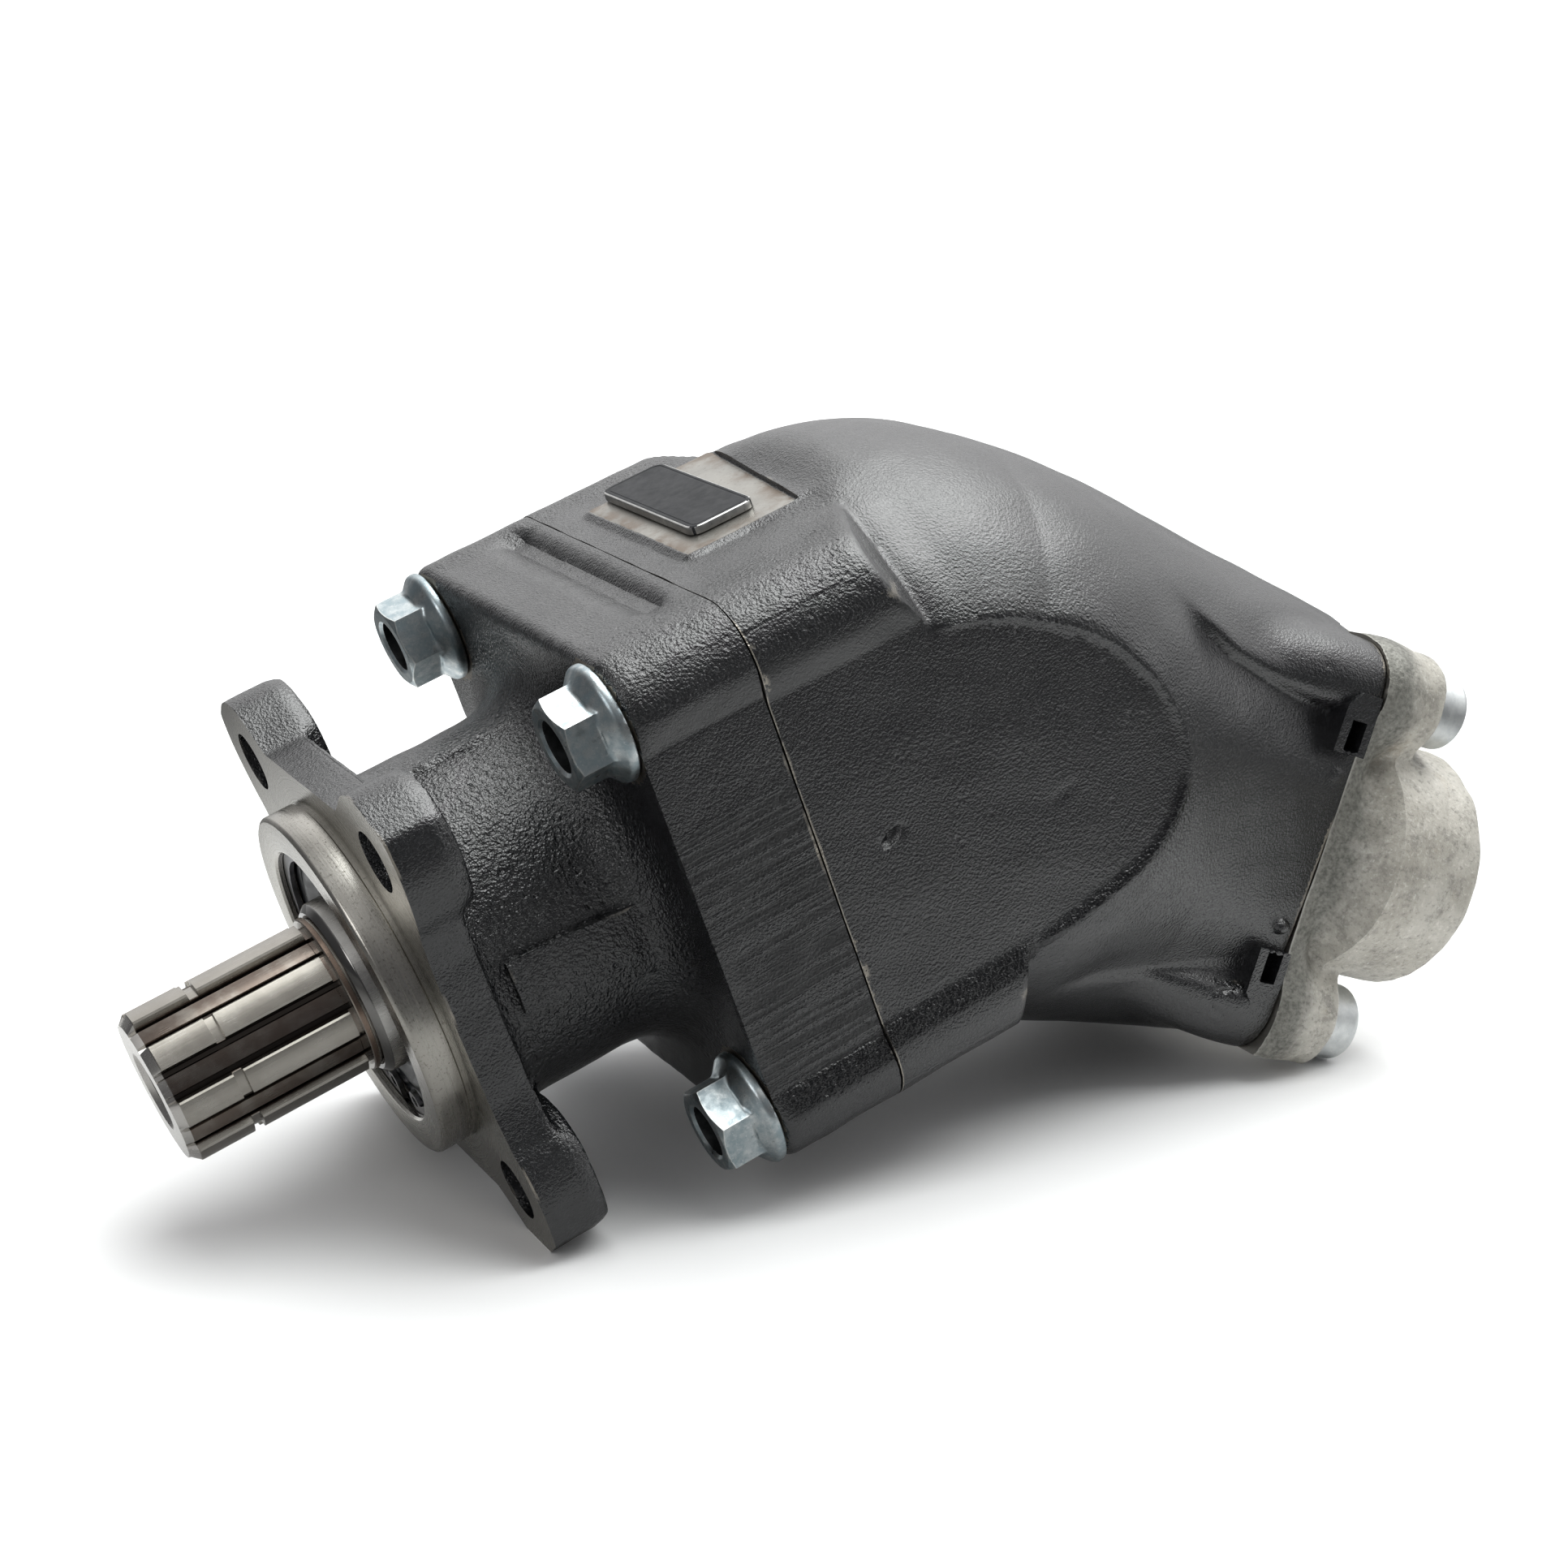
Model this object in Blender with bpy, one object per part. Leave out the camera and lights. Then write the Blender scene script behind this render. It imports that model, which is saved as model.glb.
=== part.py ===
"""Bent-axis axial piston pump for a truck power take-off.

Every sub-part is its own object.  Lengths below are millimetres in the pump's
own frame: X runs along the drive shaft from the splined end to the rear, the
mounting flange face is X = 0, Z points up in the plane of the bend.  The
cylinder-barrel frame starts at the bend point and is tilted down by BEND.  The
whole assembly hangs on one empty that stands it on the ground the way it rests
on a bench: on the two lower flange ears and the two lower cap screws.
"""

import math

import bmesh
import bpy
from mathutils import Matrix, Vector

# ------------------------------------------------------------------ dimensions
MM = 0.001

# stance
PITCH = 19.017           # degrees the drive shaft dips towards its splined end
STAND_X = -100.678        # flange centre, measured from the middle of the footprint
STAND_Z = 50.494          # flange centre, above the ground

# bend
BEND = 40.0              # angle between drive shaft and cylinder barrel, degrees
BEND_X = 123.0           # bend point along the drive shaft

# mounting flange: four holes on an 80 x 80 square, 80 spigot
HOLE_PITCH = 80.0
HOLE_D = 13.5
EAR_R = 13.5
FLANGE_T = 13.5
FLANGE_TOP = 46.5
FLANGE_SIDE = 48.3
FLANGE_SIDE_EAR = 51.0
SPIGOT_D = 80.0
SPIGOT_L = 8.0

# bearing housing
NECK_R = 39.0
NECK_FILLET = 10.0
BODY_HALF = 60.0
BODY_FRONT = 52.5
SEAM_X = 81.0
BOLT_AT = 46.73
CORNER_R = 13.27

# barrel housing
PRISM_REAR = 119.0
CHEEK_Y = 59.9
PAD_Z = 61.0
CAP_SEAM = 103.0
SCREW_Y = 38.0
SCREW_Z = 38.8
SCREW_SEAT = 117.0

# ports in the end cap
SUCTION_Y = -28.6
SUCTION_R = 27.9
SUCTION_BORE = 20.5
SUCTION_END = 141.0
PRESSURE_Y = 27.0
PRESSURE_R = 22.0
PRESSURE_BORE = 13.4
PRESSURE_END = 137.0

# drive shaft, 8-tooth spline
SHAFT_TIP = -53.6
SPLINE_END = -11.6
SPLINE_OD = 35.0
SPLINE_ID = 32.0
SPLINE_TOOTH = 6.0
JOURNAL_R = 20.0
REAR_SEAT_R = 22.0
DRIVE_FLANGE_R = 38.5

# rotating group
PISTONS = 7
BALL_CIRCLE = 26.0
BALL_R = 9.0
BORE_CIRCLE = BALL_CIRCLE * (1.0 + math.cos(math.radians(BEND))) / 2.0
BORE_R = 8.6
HEAD_R = 5.2
PISTON_L = 60.0
BARREL_FRONT = 30.0
BARREL_REAR = 94.0
BARREL_R = 34.0
VALVE_FRONT = 94.4
VALVE_REAR = 102.6
KIDNEY_HALF = 4.2

GAP = 0.3                # clearance kept between neighbouring pieces

TH = math.radians(BEND)
TO_BARREL = Matrix.Translation((BEND_X * MM, 0, 0)) @ Matrix.Rotation(TH, 4, "Y")

# ------------------------------------------------------------------ clean start
for old in list(bpy.data.objects):
    bpy.data.objects.remove(old, do_unlink=True)

COLL = bpy.context.scene.collection


# ------------------------------------------------------------------ materials
def material(name, rgb, rough, metal):
    m = bpy.data.materials.get(name)
    if m is None:
        m = bpy.data.materials.new(name)
        m.use_nodes = True
        b = m.node_tree.nodes["Principled BSDF"]
        b.inputs["Base Color"].default_value = (*rgb, 1.0)
        b.inputs["Roughness"].default_value = rough
        b.inputs["Metallic"].default_value = metal
        m.diffuse_color = (*rgb, 1.0)
    return m


BLACK_PAINT = material("black_cast_paint", (0.028, 0.029, 0.031), 0.42, 0.0)
BARE_CAST = material("bare_cast_cap", (0.36, 0.34, 0.29), 0.55, 0.7)
ZINC = material("zinc_plated", (0.60, 0.63, 0.64), 0.30, 1.0)
STEEL = material("ground_steel", (0.45, 0.44, 0.42), 0.28, 1.0)
BEARING = material("bearing_steel", (0.55, 0.55, 0.55), 0.20, 1.0)
RUBBER = material("seal_rubber", (0.020, 0.019, 0.019), 0.65, 0.0)
SPRING = material("spring_steel", (0.20, 0.20, 0.21), 0.35, 1.0)
BRONZE = material("bronze", (0.55, 0.38, 0.18), 0.32, 1.0)
PLATE = material("plate_dark", (0.035, 0.037, 0.040), 0.40, 0.3)
CAGE = material("pressed_steel", (0.42, 0.42, 0.41), 0.35, 1.0)


# ------------------------------------------------------------------ mesh helpers
def settle(bm):
    bmesh.ops.remove_doubles(bm, verts=bm.verts, dist=1e-7)
    bmesh.ops.dissolve_degenerate(bm, dist=1e-7, edges=bm.edges)
    bmesh.ops.recalc_face_normals(bm, faces=bm.faces)
    return bm


def lathe(profile, seg=32, closed=False):
    """Turn (x, r) points about the X axis; a closed profile makes a ring."""
    bm = bmesh.new()
    vs = [bm.verts.new((x * MM, 0.0, r * MM)) for x, r in profile]
    es = [bm.edges.new((a, b)) for a, b in zip(vs, vs[1:])]
    if closed:
        es.append(bm.edges.new((vs[-1], vs[0])))
    bmesh.ops.spin(bm, geom=vs + es, cent=(0, 0, 0), axis=(1, 0, 0), dvec=(0, 0, 0),
                   angle=2 * math.pi, steps=seg, use_merge=True, use_duplicate=False)
    return settle(bm)


def rod(x0, x1, r, y=0.0, z=0.0, seg=24, r1=None):
    r1 = r if r1 is None else r1
    bm = lathe([(x0, 0), (x0, r), (x1, r1), (x1, 0)], seg)
    bm.transform(Matrix.Translation((0, y * MM, z * MM)))
    return bm


def prism(outline, x0, x1, hole=None):
    """Extrude a (y, z) outline, with an optional hole of as many points, along X."""
    bm = bmesh.new()
    front = [bm.verts.new((x0 * MM, y * MM, z * MM)) for y, z in outline]
    back = [bm.verts.new((x1 * MM, y * MM, z * MM)) for y, z in outline]
    n = len(outline)
    for i in range(n):
        j = (i + 1) % n
        bm.faces.new((front[i], front[j], back[j], back[i]))
    if hole is None:
        bm.faces.new(front)
        bm.faces.new(list(reversed(back)))
    else:
        hf = [bm.verts.new((x0 * MM, y * MM, z * MM)) for y, z in hole]
        hb = [bm.verts.new((x1 * MM, y * MM, z * MM)) for y, z in hole]
        for i in range(n):
            j = (i + 1) % n
            bm.faces.new((hf[j], hf[i], hb[i], hb[j]))
            bm.faces.new((front[i], hf[i], hf[j], front[j]))
            bm.faces.new((back[j], hb[j], hb[i], back[i]))
    return settle(bm)


def box(x0, x1, y0, y1, z0, z1):
    return prism([(y0, z0), (y1, z0), (y1, z1), (y0, z1)], x0, x1)


def loft(rings):
    """Skin closed rings of equal point count, capping both ends."""
    bm = bmesh.new()
    rows = [[bm.verts.new(Vector(p) * MM) for p in ring] for ring in rings]
    n = len(rows[0])
    for a, b in zip(rows, rows[1:]):
        for i in range(n):
            j = (i + 1) % n
            bm.faces.new((a[i], a[j], b[j], b[i]))
    bm.faces.new(rows[0])
    bm.faces.new(list(reversed(rows[-1])))
    return settle(bm)


def ball(r, x=0.0, y=0.0, z=0.0, seg=16, rings=10):
    prof = [(-r * math.cos(math.pi * k / rings), r * math.sin(math.pi * k / rings))
            for k in range(rings + 1)]
    prof[0] = (-r, 0.0)
    prof[-1] = (r, 0.0)
    bm = lathe(prof, seg)
    bm.transform(Matrix.Translation((x * MM, y * MM, z * MM)))
    return bm


def obj(bm, name, mat=None, smooth=35.0):
    me = bpy.data.meshes.new(name)
    bm.to_mesh(me)
    bm.free()
    o = bpy.data.objects.new(name, me)
    COLL.objects.link(o)
    if mat is not None:
        me.materials.append(mat)
        me.shade_smooth()
        me.set_sharp_from_angle(angle=math.radians(smooth))
    return o


def facet(me):
    """Merge coincident points and split every face into triangles."""
    bm = bmesh.new()
    bm.from_mesh(me)
    bmesh.ops.remove_doubles(bm, verts=bm.verts, dist=1e-6)
    bmesh.ops.dissolve_degenerate(bm, dist=1e-6, edges=bm.edges)
    bmesh.ops.triangulate(bm, faces=bm.faces)
    bm.to_mesh(me)
    bm.free()


def combine(o, tools, op, solver="EXACT"):
    """Boolean each tool mesh into the object, one after another."""
    facet(o.data)
    for k, t in enumerate(tools):
        c = obj(t, "%s_tool_%d" % (o.name, k))
        facet(c.data)
        m = o.modifiers.new("b", "BOOLEAN")
        m.operation = op
        m.solver = solver
        m.object = c
        dg = bpy.context.evaluated_depsgraph_get()
        me = bpy.data.meshes.new_from_object(o.evaluated_get(dg))
        o.modifiers.clear()
        o.data = me
        facet(me)
        bpy.data.objects.remove(c, do_unlink=True)
    return o


def closed(bm):
    return all(len(e.link_faces) == 2 for e in bm.edges)


def finish(o, name, mat, parent, smooth=32.0):
    """Name the piece, merge its coplanar facets, give it its material and its parent."""
    o.name = name
    me = o.data
    me.name = name
    for merge in (5e-6, 2e-6, 1e-6):
        bm = bmesh.new()
        bm.from_mesh(me)
        bmesh.ops.remove_doubles(bm, verts=bm.verts, dist=merge)
        bmesh.ops.dissolve_degenerate(bm, dist=merge, edges=bm.edges)
        bmesh.ops.dissolve_limit(bm, angle_limit=math.radians(0.05), verts=bm.verts,
                                 edges=bm.edges)
        bmesh.ops.triangulate(bm, faces=[f for f in bm.faces if len(f.verts) > 4])
        bmesh.ops.remove_doubles(bm, verts=bm.verts, dist=merge)
        bmesh.ops.dissolve_degenerate(bm, dist=merge, edges=bm.edges)
        if closed(bm):
            bm.to_mesh(me)
            bm.free()
            break
        bm.free()
    me.materials.clear()
    me.materials.append(mat)
    me.shade_smooth()
    me.set_sharp_from_angle(angle=math.radians(smooth))
    o.parent = parent
    return o


def arc(cy, cz, r, a0, a1, n):
    """n points on a circle in (y, z); angles in degrees from +Y towards +Z."""
    return [(cy + r * math.cos(math.radians(a0 + (a1 - a0) * i / (n - 1))),
             cz + r * math.sin(math.radians(a0 + (a1 - a0) * i / (n - 1))))
            for i in range(n)]


def rounded_square(half, r, n=6):
    k = half - r
    out = []
    for cy, cz, a in ((k, k, 0), (-k, k, 90), (-k, -k, 180), (k, -k, 270)):
        out += arc(cy, cz, r, a, a + 90, n)
    return out


def kidney(side, half):
    """Kidney slot around the bore circle, on the +Y (1) or -Y (-1) side."""
    a0, a1 = (-62, 62) if side > 0 else (118, 242)
    return (arc(0, 0, BORE_CIRCLE + half, a0, a1, 8)
            + arc(0, 0, BORE_CIRCLE - half, a1, a0, 8))


def hexagon(flats, turn=0.0):
    r = flats / 2.0 / math.cos(math.pi / 6)
    return [(r * math.cos(math.radians(60 * i + turn)),
             r * math.sin(math.radians(60 * i + turn))) for i in range(6)]


# ------------------------------------------------------------------ empties
def empty(name, parent=None):
    e = bpy.data.objects.new(name, None)
    e.empty_display_size = 0.03
    COLL.objects.link(e)
    e.parent = parent
    return e


stand = empty("pump_axis")
stand.matrix_world = (Matrix.Translation((STAND_X * MM, 0, STAND_Z * MM))
                      @ Matrix.Rotation(-math.radians(PITCH), 4, "Y"))
tilt = empty("barrel_axis", stand)
tilt.matrix_local = TO_BARREL

CORNERS = ((1, 1), (-1, 1), (-1, -1), (1, -1))


# ------------------------------------------------------------------ bearing housing
def mounting_outline():
    q = HOLE_PITCH / 2.0
    a_top = math.degrees(math.asin((FLANGE_TOP - q) / EAR_R))
    a_side = math.degrees(math.acos((FLANGE_SIDE_EAR - q) / EAR_R))
    quarter = [(FLANGE_SIDE, 15.0)]
    quarter += arc(q, q, EAR_R, -a_side, 180.0 - a_top, 12)
    out = list(quarter)
    out += [(-y, z) for y, z in reversed(quarter)]
    out += [(-y, -z) for y, z in quarter]
    out += [(y, -z) for y, z in reversed(quarter)]
    return out


def neck_profile():
    p = [(6.0, 0.0), (6.0, NECK_R), (BODY_FRONT - NECK_FILLET, NECK_R)]
    for i in range(1, 4):
        a = math.radians(90.0 * i / 3)
        p.append((BODY_FRONT - NECK_FILLET + NECK_FILLET * math.sin(a),
                  NECK_R + NECK_FILLET * (1 - math.cos(a))))
    p += [(BODY_FRONT + 6.0, NECK_R + NECK_FILLET), (BODY_FRONT + 6.0, 0.0)]
    return p


h = obj(prism(mounting_outline(), 0.0, FLANGE_T), "h")
combine(h, [
    lathe([(-SPIGOT_L, 0), (-SPIGOT_L, SPIGOT_D / 2 - 1.0), (-SPIGOT_L + 1.0, SPIGOT_D / 2),
           (4.0, SPIGOT_D / 2), (4.0, 0)], 32),
    lathe(neck_profile(), 32),
    prism(rounded_square(BODY_HALF, CORNER_R), BODY_FRONT, SEAM_X - GAP / 2),
], "UNION")
combine(h, [lathe([(-9.0, 0), (-9.0, 31.7), (-6.3, 31.7), (-6.3, 33.2), (-4.7, 33.2),
                   (-4.7, 31.3), (9.0, 31.3), (9.0, 28.0), (12.0, 28.0), (12.0, 34.3),
                   (34.5, 34.3), (34.5, 31.0), (56.0, 31.0), (56.0, 43.2),
                   (SEAM_X + 2, 43.2), (SEAM_X + 2, 0)], 28)]
        + [rod(-2.0, FLANGE_T + 14.0, HOLE_D / 2, sy * HOLE_PITCH / 2, sz * HOLE_PITCH / 2, 16)
           for sy, sz in CORNERS]
        + [rod(BODY_FRONT - 1.0, SEAM_X + 1.0, 6.7, sy * BOLT_AT, sz * BOLT_AT, 12)
           for sy, sz in CORNERS], "DIFFERENCE")
finish(h, "bearing_housing", BLACK_PAINT, stand)


# ------------------------------------------------------------------ barrel housing
def elbow_rings():
    """Sections across the barrel axis, round at the elbow, narrowing to the cap."""
    rows = []
    for i in range(1, 6):
        a = math.radians(90.0 * i / 6)
        rows.append((-65.3 * math.cos(a), 65.3 * math.sin(a), 65.3 * math.sin(a), 2.0))
    rows += [(0.0, 65.8, 66.0, 2.0), (14.0, 66.2, 66.4, 2.0), (28.0, 64.2, 65.3, 2.0),
             (41.0, 61.6, 63.4, 2.0), (54.0, 57.6, 61.3, 2.1), (67.0, 53.2, 58.8, 2.4),
             (81.0, 49.2, 56.3, 2.8), (95.0, 46.0, 54.2, 3.3), (CAP_SEAM, 44.8, 52.9, 3.6),
             (CAP_SEAM + 6.0, 44.2, 51.8, 3.8)]
    out = []
    for x, a, b, n in rows:
        ring = []
        for k in range(28):
            t = 2 * math.pi * k / 28
            c, s = math.cos(t), math.sin(t)
            y = a * math.copysign(abs(c) ** (2.0 / n), c)
            z = b * math.copysign(abs(s) ** (2.0 / n), s)
            ring.append((x, max(-CHEEK_Y, min(CHEEK_Y, y)), 0.6 + z))
        out.append(ring)
    return out


def ridge(sy, sz):
    rows = []
    for x, cy, cz, r in ((52.0, 34.0, 34.0, 4.0), (66.0, 36.5, 37.2, 8.5),
                         (80.0, 37.8, 38.4, 11.0), (CAP_SEAM, SCREW_Y, SCREW_Z, 11.6),
                         (CAP_SEAM + 5.0, SCREW_Y, SCREW_Z, 11.6)):
        rows.append([(x, sy * cy + r * math.cos(2 * math.pi * k / 16),
                      sz * cz + r * math.sin(2 * math.pi * k / 16)) for k in range(16)])
    return loft(rows)


def tilted(bm):
    bm.transform(TO_BARREL)
    return bm


h = obj(tilted(loft(elbow_rings())), "h")
combine(h, [tilted(ridge(sy, sz)) for sy, sz in CORNERS]
        + [prism(rounded_square(BODY_HALF, CORNER_R), SEAM_X + GAP / 2, PRISM_REAR)], "UNION")
combine(h, [
    box(20.0, SEAM_X + GAP / 2, -90, 90, -120, 120),                    # joint face
    box(SEAM_X - 5, PRISM_REAR, -24.0, 38.0, PAD_Z, PAD_Z + 20.0),      # plate pad
    tilted(box(CAP_SEAM - GAP / 2, CAP_SEAM + 40, -90, 90, -90, 90)),   # cap face
    lathe([(SEAM_X - 4, 0), (SEAM_X - 4, 42.0), (BEND_X + 4, 42.0), (BEND_X + 16, 34.0),
           (BEND_X + 16, 0)], 28),
    ball(44.0, BEND_X, 0, 0, 24, 10),
    tilted(rod(18.0, CAP_SEAM + 3, 37.0, seg=28)),
    lathe([(SEAM_X - 2, 45.7), (SEAM_X - 2, 49.3), (SEAM_X + 3.4, 49.3), (SEAM_X + 3.4, 45.7)],
          28, True),
    tilted(lathe([(100.0, 38.6), (100.0, 41.8), (CAP_SEAM + 2, 41.8), (CAP_SEAM + 2, 38.6)],
                 28, True)),
] + [rod(SEAM_X - 2, 112.0, 6.5, sy * BOLT_AT, sz * BOLT_AT, 12) for sy, sz in CORNERS]
  + [tilted(rod(84.0, CAP_SEAM + 2, 6.5, sy * SCREW_Y, sz * SCREW_Z, 12))
     for sy, sz in CORNERS], "DIFFERENCE")
finish(h, "barrel_housing", BLACK_PAINT, stand)


# ------------------------------------------------------------------ end cap
def cap_outline():
    """Four screw bosses joined by a waisted side and a crowned top and bottom."""
    quarter = []
    for t in range(0, 4):
        f = t / 3.0
        quarter.append((44.6 + 0.8 * f, 24.0 * f))
    quarter += arc(SCREW_Y, SCREW_Z, 11.6, -32, 105, 7)
    crown = [(18.0, 51.6), (0.0, 53.0), (-18.0, 51.6)]
    sole = [(-18.0, -49.4), (18.0, -49.4)]
    out = quarter + crown
    out += [(-y, z) for y, z in reversed(quarter)]
    out += [(-y, -z) for y, z in quarter[1:]]
    out += sole
    out += [(y, -z) for y, z in reversed(quarter[1:])]
    return out


h = obj(prism(cap_outline(), CAP_SEAM + GAP / 2, SCREW_SEAT), "h")
combine(h, [
    lathe([(104.0, 0), (104.0, 34.0), (SCREW_SEAT, 34.0), (124.0, 24.0), (124.0, 0)], 32),
], "UNION")
suction = lathe([(104.0, 0), (104.0, 17.0), (113.0, SUCTION_R), (SUCTION_END - 2, SUCTION_R),
                 (SUCTION_END, SUCTION_R - 2), (SUCTION_END, 0)], 32)
suction.transform(Matrix.Translation((0, SUCTION_Y * MM, 0)))
pressure = lathe([(104.0, 0), (104.0, 17.0), (113.0, PRESSURE_R), (PRESSURE_END - 2, PRESSURE_R),
                  (PRESSURE_END, PRESSURE_R - 2), (PRESSURE_END, 0)], 28)
pressure.transform(Matrix.Translation((0, PRESSURE_Y * MM, 0)))
combine(h, [suction, pressure], "UNION")
combine(h, [
    rod(112.0, SUCTION_END + 2, SUCTION_BORE, SUCTION_Y, 0, 28),
    rod(112.0, PRESSURE_END + 2, PRESSURE_BORE, PRESSURE_Y, 0, 20),
    prism(kidney(-1, KIDNEY_HALF), 98.0, 114.0),
    prism(kidney(1, KIDNEY_HALF), 98.0, 114.0),
    rod(98.0, 109.0, 2.4, 0, 31.0, 10),
] + [rod(98.0, SCREW_SEAT + 3, 6.7, sy * SCREW_Y, sz * SCREW_Z, 12)
     for sy, sz in CORNERS], "DIFFERENCE")
finish(h, "end_cap", BARE_CAST, tilt)


# ------------------------------------------------------------------ fasteners
def flange_bolt(name, y, z, turn):
    """Hexagon bolt with a flange, its seat at x = 0 and its shank towards +X."""
    o = obj(prism(hexagon(18.0, turn), -12.0, -2.0), name)
    combine(o, [lathe([(-4.6, 0), (-4.6, 9.6), (-2.0, 12.9), (0.0, 12.9), (0.0, 6.0),
                       (56.0, 6.0), (57.3, 4.8), (57.3, 0)], 18)], "UNION")
    combine(o, [rod(-13.0, -10.6, 5.8, seg=12)], "DIFFERENCE")
    o.location = ((BODY_FRONT - GAP) * MM, y * MM, z * MM)
    return finish(o, name, ZINC, stand)


for i, (sy, sz) in enumerate(CORNERS):
    flange_bolt("housing_bolt_%d" % (i + 1), sy * BOLT_AT, sz * BOLT_AT, 11.0 + 13.0 * i)


def cap_screw(name, y, z, turn):
    """Socket-head cap screw, seat at x = 0, shank towards -X."""
    o = obj(lathe([(-30.0, 0), (-30.0, 4.8), (-28.8, 6.0), (0.0, 6.0), (0.0, 9.0),
                   (11.0, 9.0), (12.0, 8.2), (12.0, 0)], 18), name)
    combine(o, [prism(hexagon(10.0, turn), 6.0, 14.0)], "DIFFERENCE")
    o.location = ((SCREW_SEAT + GAP) * MM, y * MM, z * MM)
    return finish(o, name, ZINC, tilt)


for i, (sy, sz) in enumerate(CORNERS):
    cap_screw("cap_screw_%d" % (i + 1), sy * SCREW_Y, sz * SCREW_Z, 7.0 + 19.0 * i)

# ------------------------------------------------------------------ name plate, left blank
plate = prism([(y, z) for y, z in
               arc(24.0 - 3, 8.0 - 3, 3, 0, 90, 5) + arc(-24.0 + 3, 8.0 - 3, 3, 90, 180, 5)
               + arc(-24.0 + 3, -8.0 + 3, 3, 180, 270, 5) + arc(24.0 - 3, -8.0 + 3, 3, 270, 360, 5)],
              0.0, 1.8)
plate.transform(Matrix.Rotation(math.radians(-90), 4, "Y"))
o = obj(plate, "name_plate")
o.location = (102.0 * MM, 9.0 * MM, (PAD_Z + GAP) * MM)
finish(o, "name_plate", PLATE, stand)

# ------------------------------------------------------------------ shaft seal and circlip
o = obj(lathe([(-4.2, 31.0), (-4.2, 22.6), (2.0, 20.5), (4.6, 21.4), (-2.2, 24.0), (-2.2, 28.0),
               (6.0, 28.0), (6.0, 31.0)], 26, True), "shaft_seal")
finish(o, "shaft_seal", RUBBER, stand)

ring_out = arc(0, 0, 32.6, -78, 258, 29)
ring_in = arc(0, 0, 28.6, 258, -78, 29)
o = obj(prism(ring_out + ring_in, -6.1, -4.9), "seal_circlip")
finish(o, "seal_circlip", SPRING, stand)


def o_ring(name, x, major, minor, parent):
    prof = [(x + minor * math.cos(math.pi * k / 3), major + minor * math.sin(math.pi * k / 3))
            for k in range(6)]
    return finish(obj(lathe(prof, 28, True), name), name, RUBBER, parent)


o_ring("housing_o_ring", 82.75, 47.5, 1.4, stand)
o_ring("cap_o_ring", 101.4, 40.2, 1.2, tilt)

# ------------------------------------------------------------------ drive shaft


def spline_ring(x, od, idia):
    """Section of the 8-tooth spline: flat-sided teeth on a round root."""
    ro, ri, w = od / 2.0, idia / 2.0, SPLINE_TOOTH / 2.0
    ao, ai = math.asin(w / ro), math.asin(w / ri)
    pts = []
    for k in range(8):
        c = math.pi / 2 + k * math.pi / 4
        for r, a in ((ri, c - ai), (ro, c - ao), (ro, c), (ro, c + ao), (ri, c + ai),
                     (ri, c + math.pi / 8)):
            pts.append((x, r * math.cos(a), r * math.sin(a)))
    return pts


o = obj(loft([spline_ring(SHAFT_TIP, SPLINE_OD - 3.2, SPLINE_ID - 1.6),
              spline_ring(SHAFT_TIP + 1.7, SPLINE_OD, SPLINE_ID),
              spline_ring(SPLINE_END + 2.0, SPLINE_OD, SPLINE_ID)]), "drive_shaft")
combine(o, [lathe([(SPLINE_END, 0), (SPLINE_END, 17.9), (SPLINE_END + 2.4, JOURNAL_R),
                   (56.5, JOURNAL_R), (56.5, REAR_SEAT_R), (80.6, REAR_SEAT_R), (80.6, 28.0),
                   (88.0, 28.0), (104.0, DRIVE_FLANGE_R), (BEND_X, DRIVE_FLANGE_R), (BEND_X, 0)],
                  32)], "UNION")
cuts = [lathe([(SHAFT_TIP - 1, 0), (SHAFT_TIP - 1, 9.4), (SHAFT_TIP + 1.6, 7.85),
               (SHAFT_TIP + 20, 7.85), (SHAFT_TIP + 23, 0)], 16),
        lathe([(-39.3, 16.1), (-39.3, 19.0), (-37.3, 19.0), (-37.3, 16.1)], 32, True),
        ball(7.7, BEND_X, 0, 0, 12, 8)]
for k in range(PISTONS):
    a = 2 * math.pi * k / PISTONS
    cuts.append(ball(BALL_R + 0.8, BEND_X, BALL_CIRCLE * math.sin(a), BALL_CIRCLE * math.cos(a), 12, 8))
combine(o, cuts, "DIFFERENCE")
finish(o, "drive_shaft", STEEL, stand)


# ------------------------------------------------------------------ tapered roller bearings
def roller_set(r_in, r_out, count, land):
    """Outline of a cage with its rollers: a ring that swells at every roller."""
    mid, half = (r_in + r_out) / 2.0, (r_out - r_in) / 2.0
    outer, inner = [], []
    for k in range(count):
        c = 2 * math.pi * k / count
        w = half / mid
        for a, f in ((-1.2, land), (-0.75, 0.66), (0.0, 1.0), (0.75, 0.66), (1.2, land)):
            t = c + a * w
            outer.append(((mid + half * f) * math.cos(t), (mid + half * f) * math.sin(t)))
            inner.append(((mid - half * f) * math.cos(t), (mid - half * f) * math.sin(t)))
    return outer, inner


def bearing(tag, x0, x1, r0, r1, r2, r3, rollers):
    o = obj(lathe([(x0, r0), (x0, r1), (x1, r1), (x1, r0)], 28, True), tag)
    finish(o, tag + "_inner_race", BEARING, stand)
    o = obj(lathe([(x0, r2), (x0, r3), (x1, r3), (x1, r2)], 28, True), tag)
    finish(o, tag + "_outer_race", BEARING, stand)
    outer, inner = roller_set(r1 + GAP, r2 - GAP, rollers, 0.28)
    o = obj(prism(outer, x0 + 2.5, x1 - 2.5, inner), tag)
    finish(o, tag + "_roller_cage", CAGE, stand)


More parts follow.
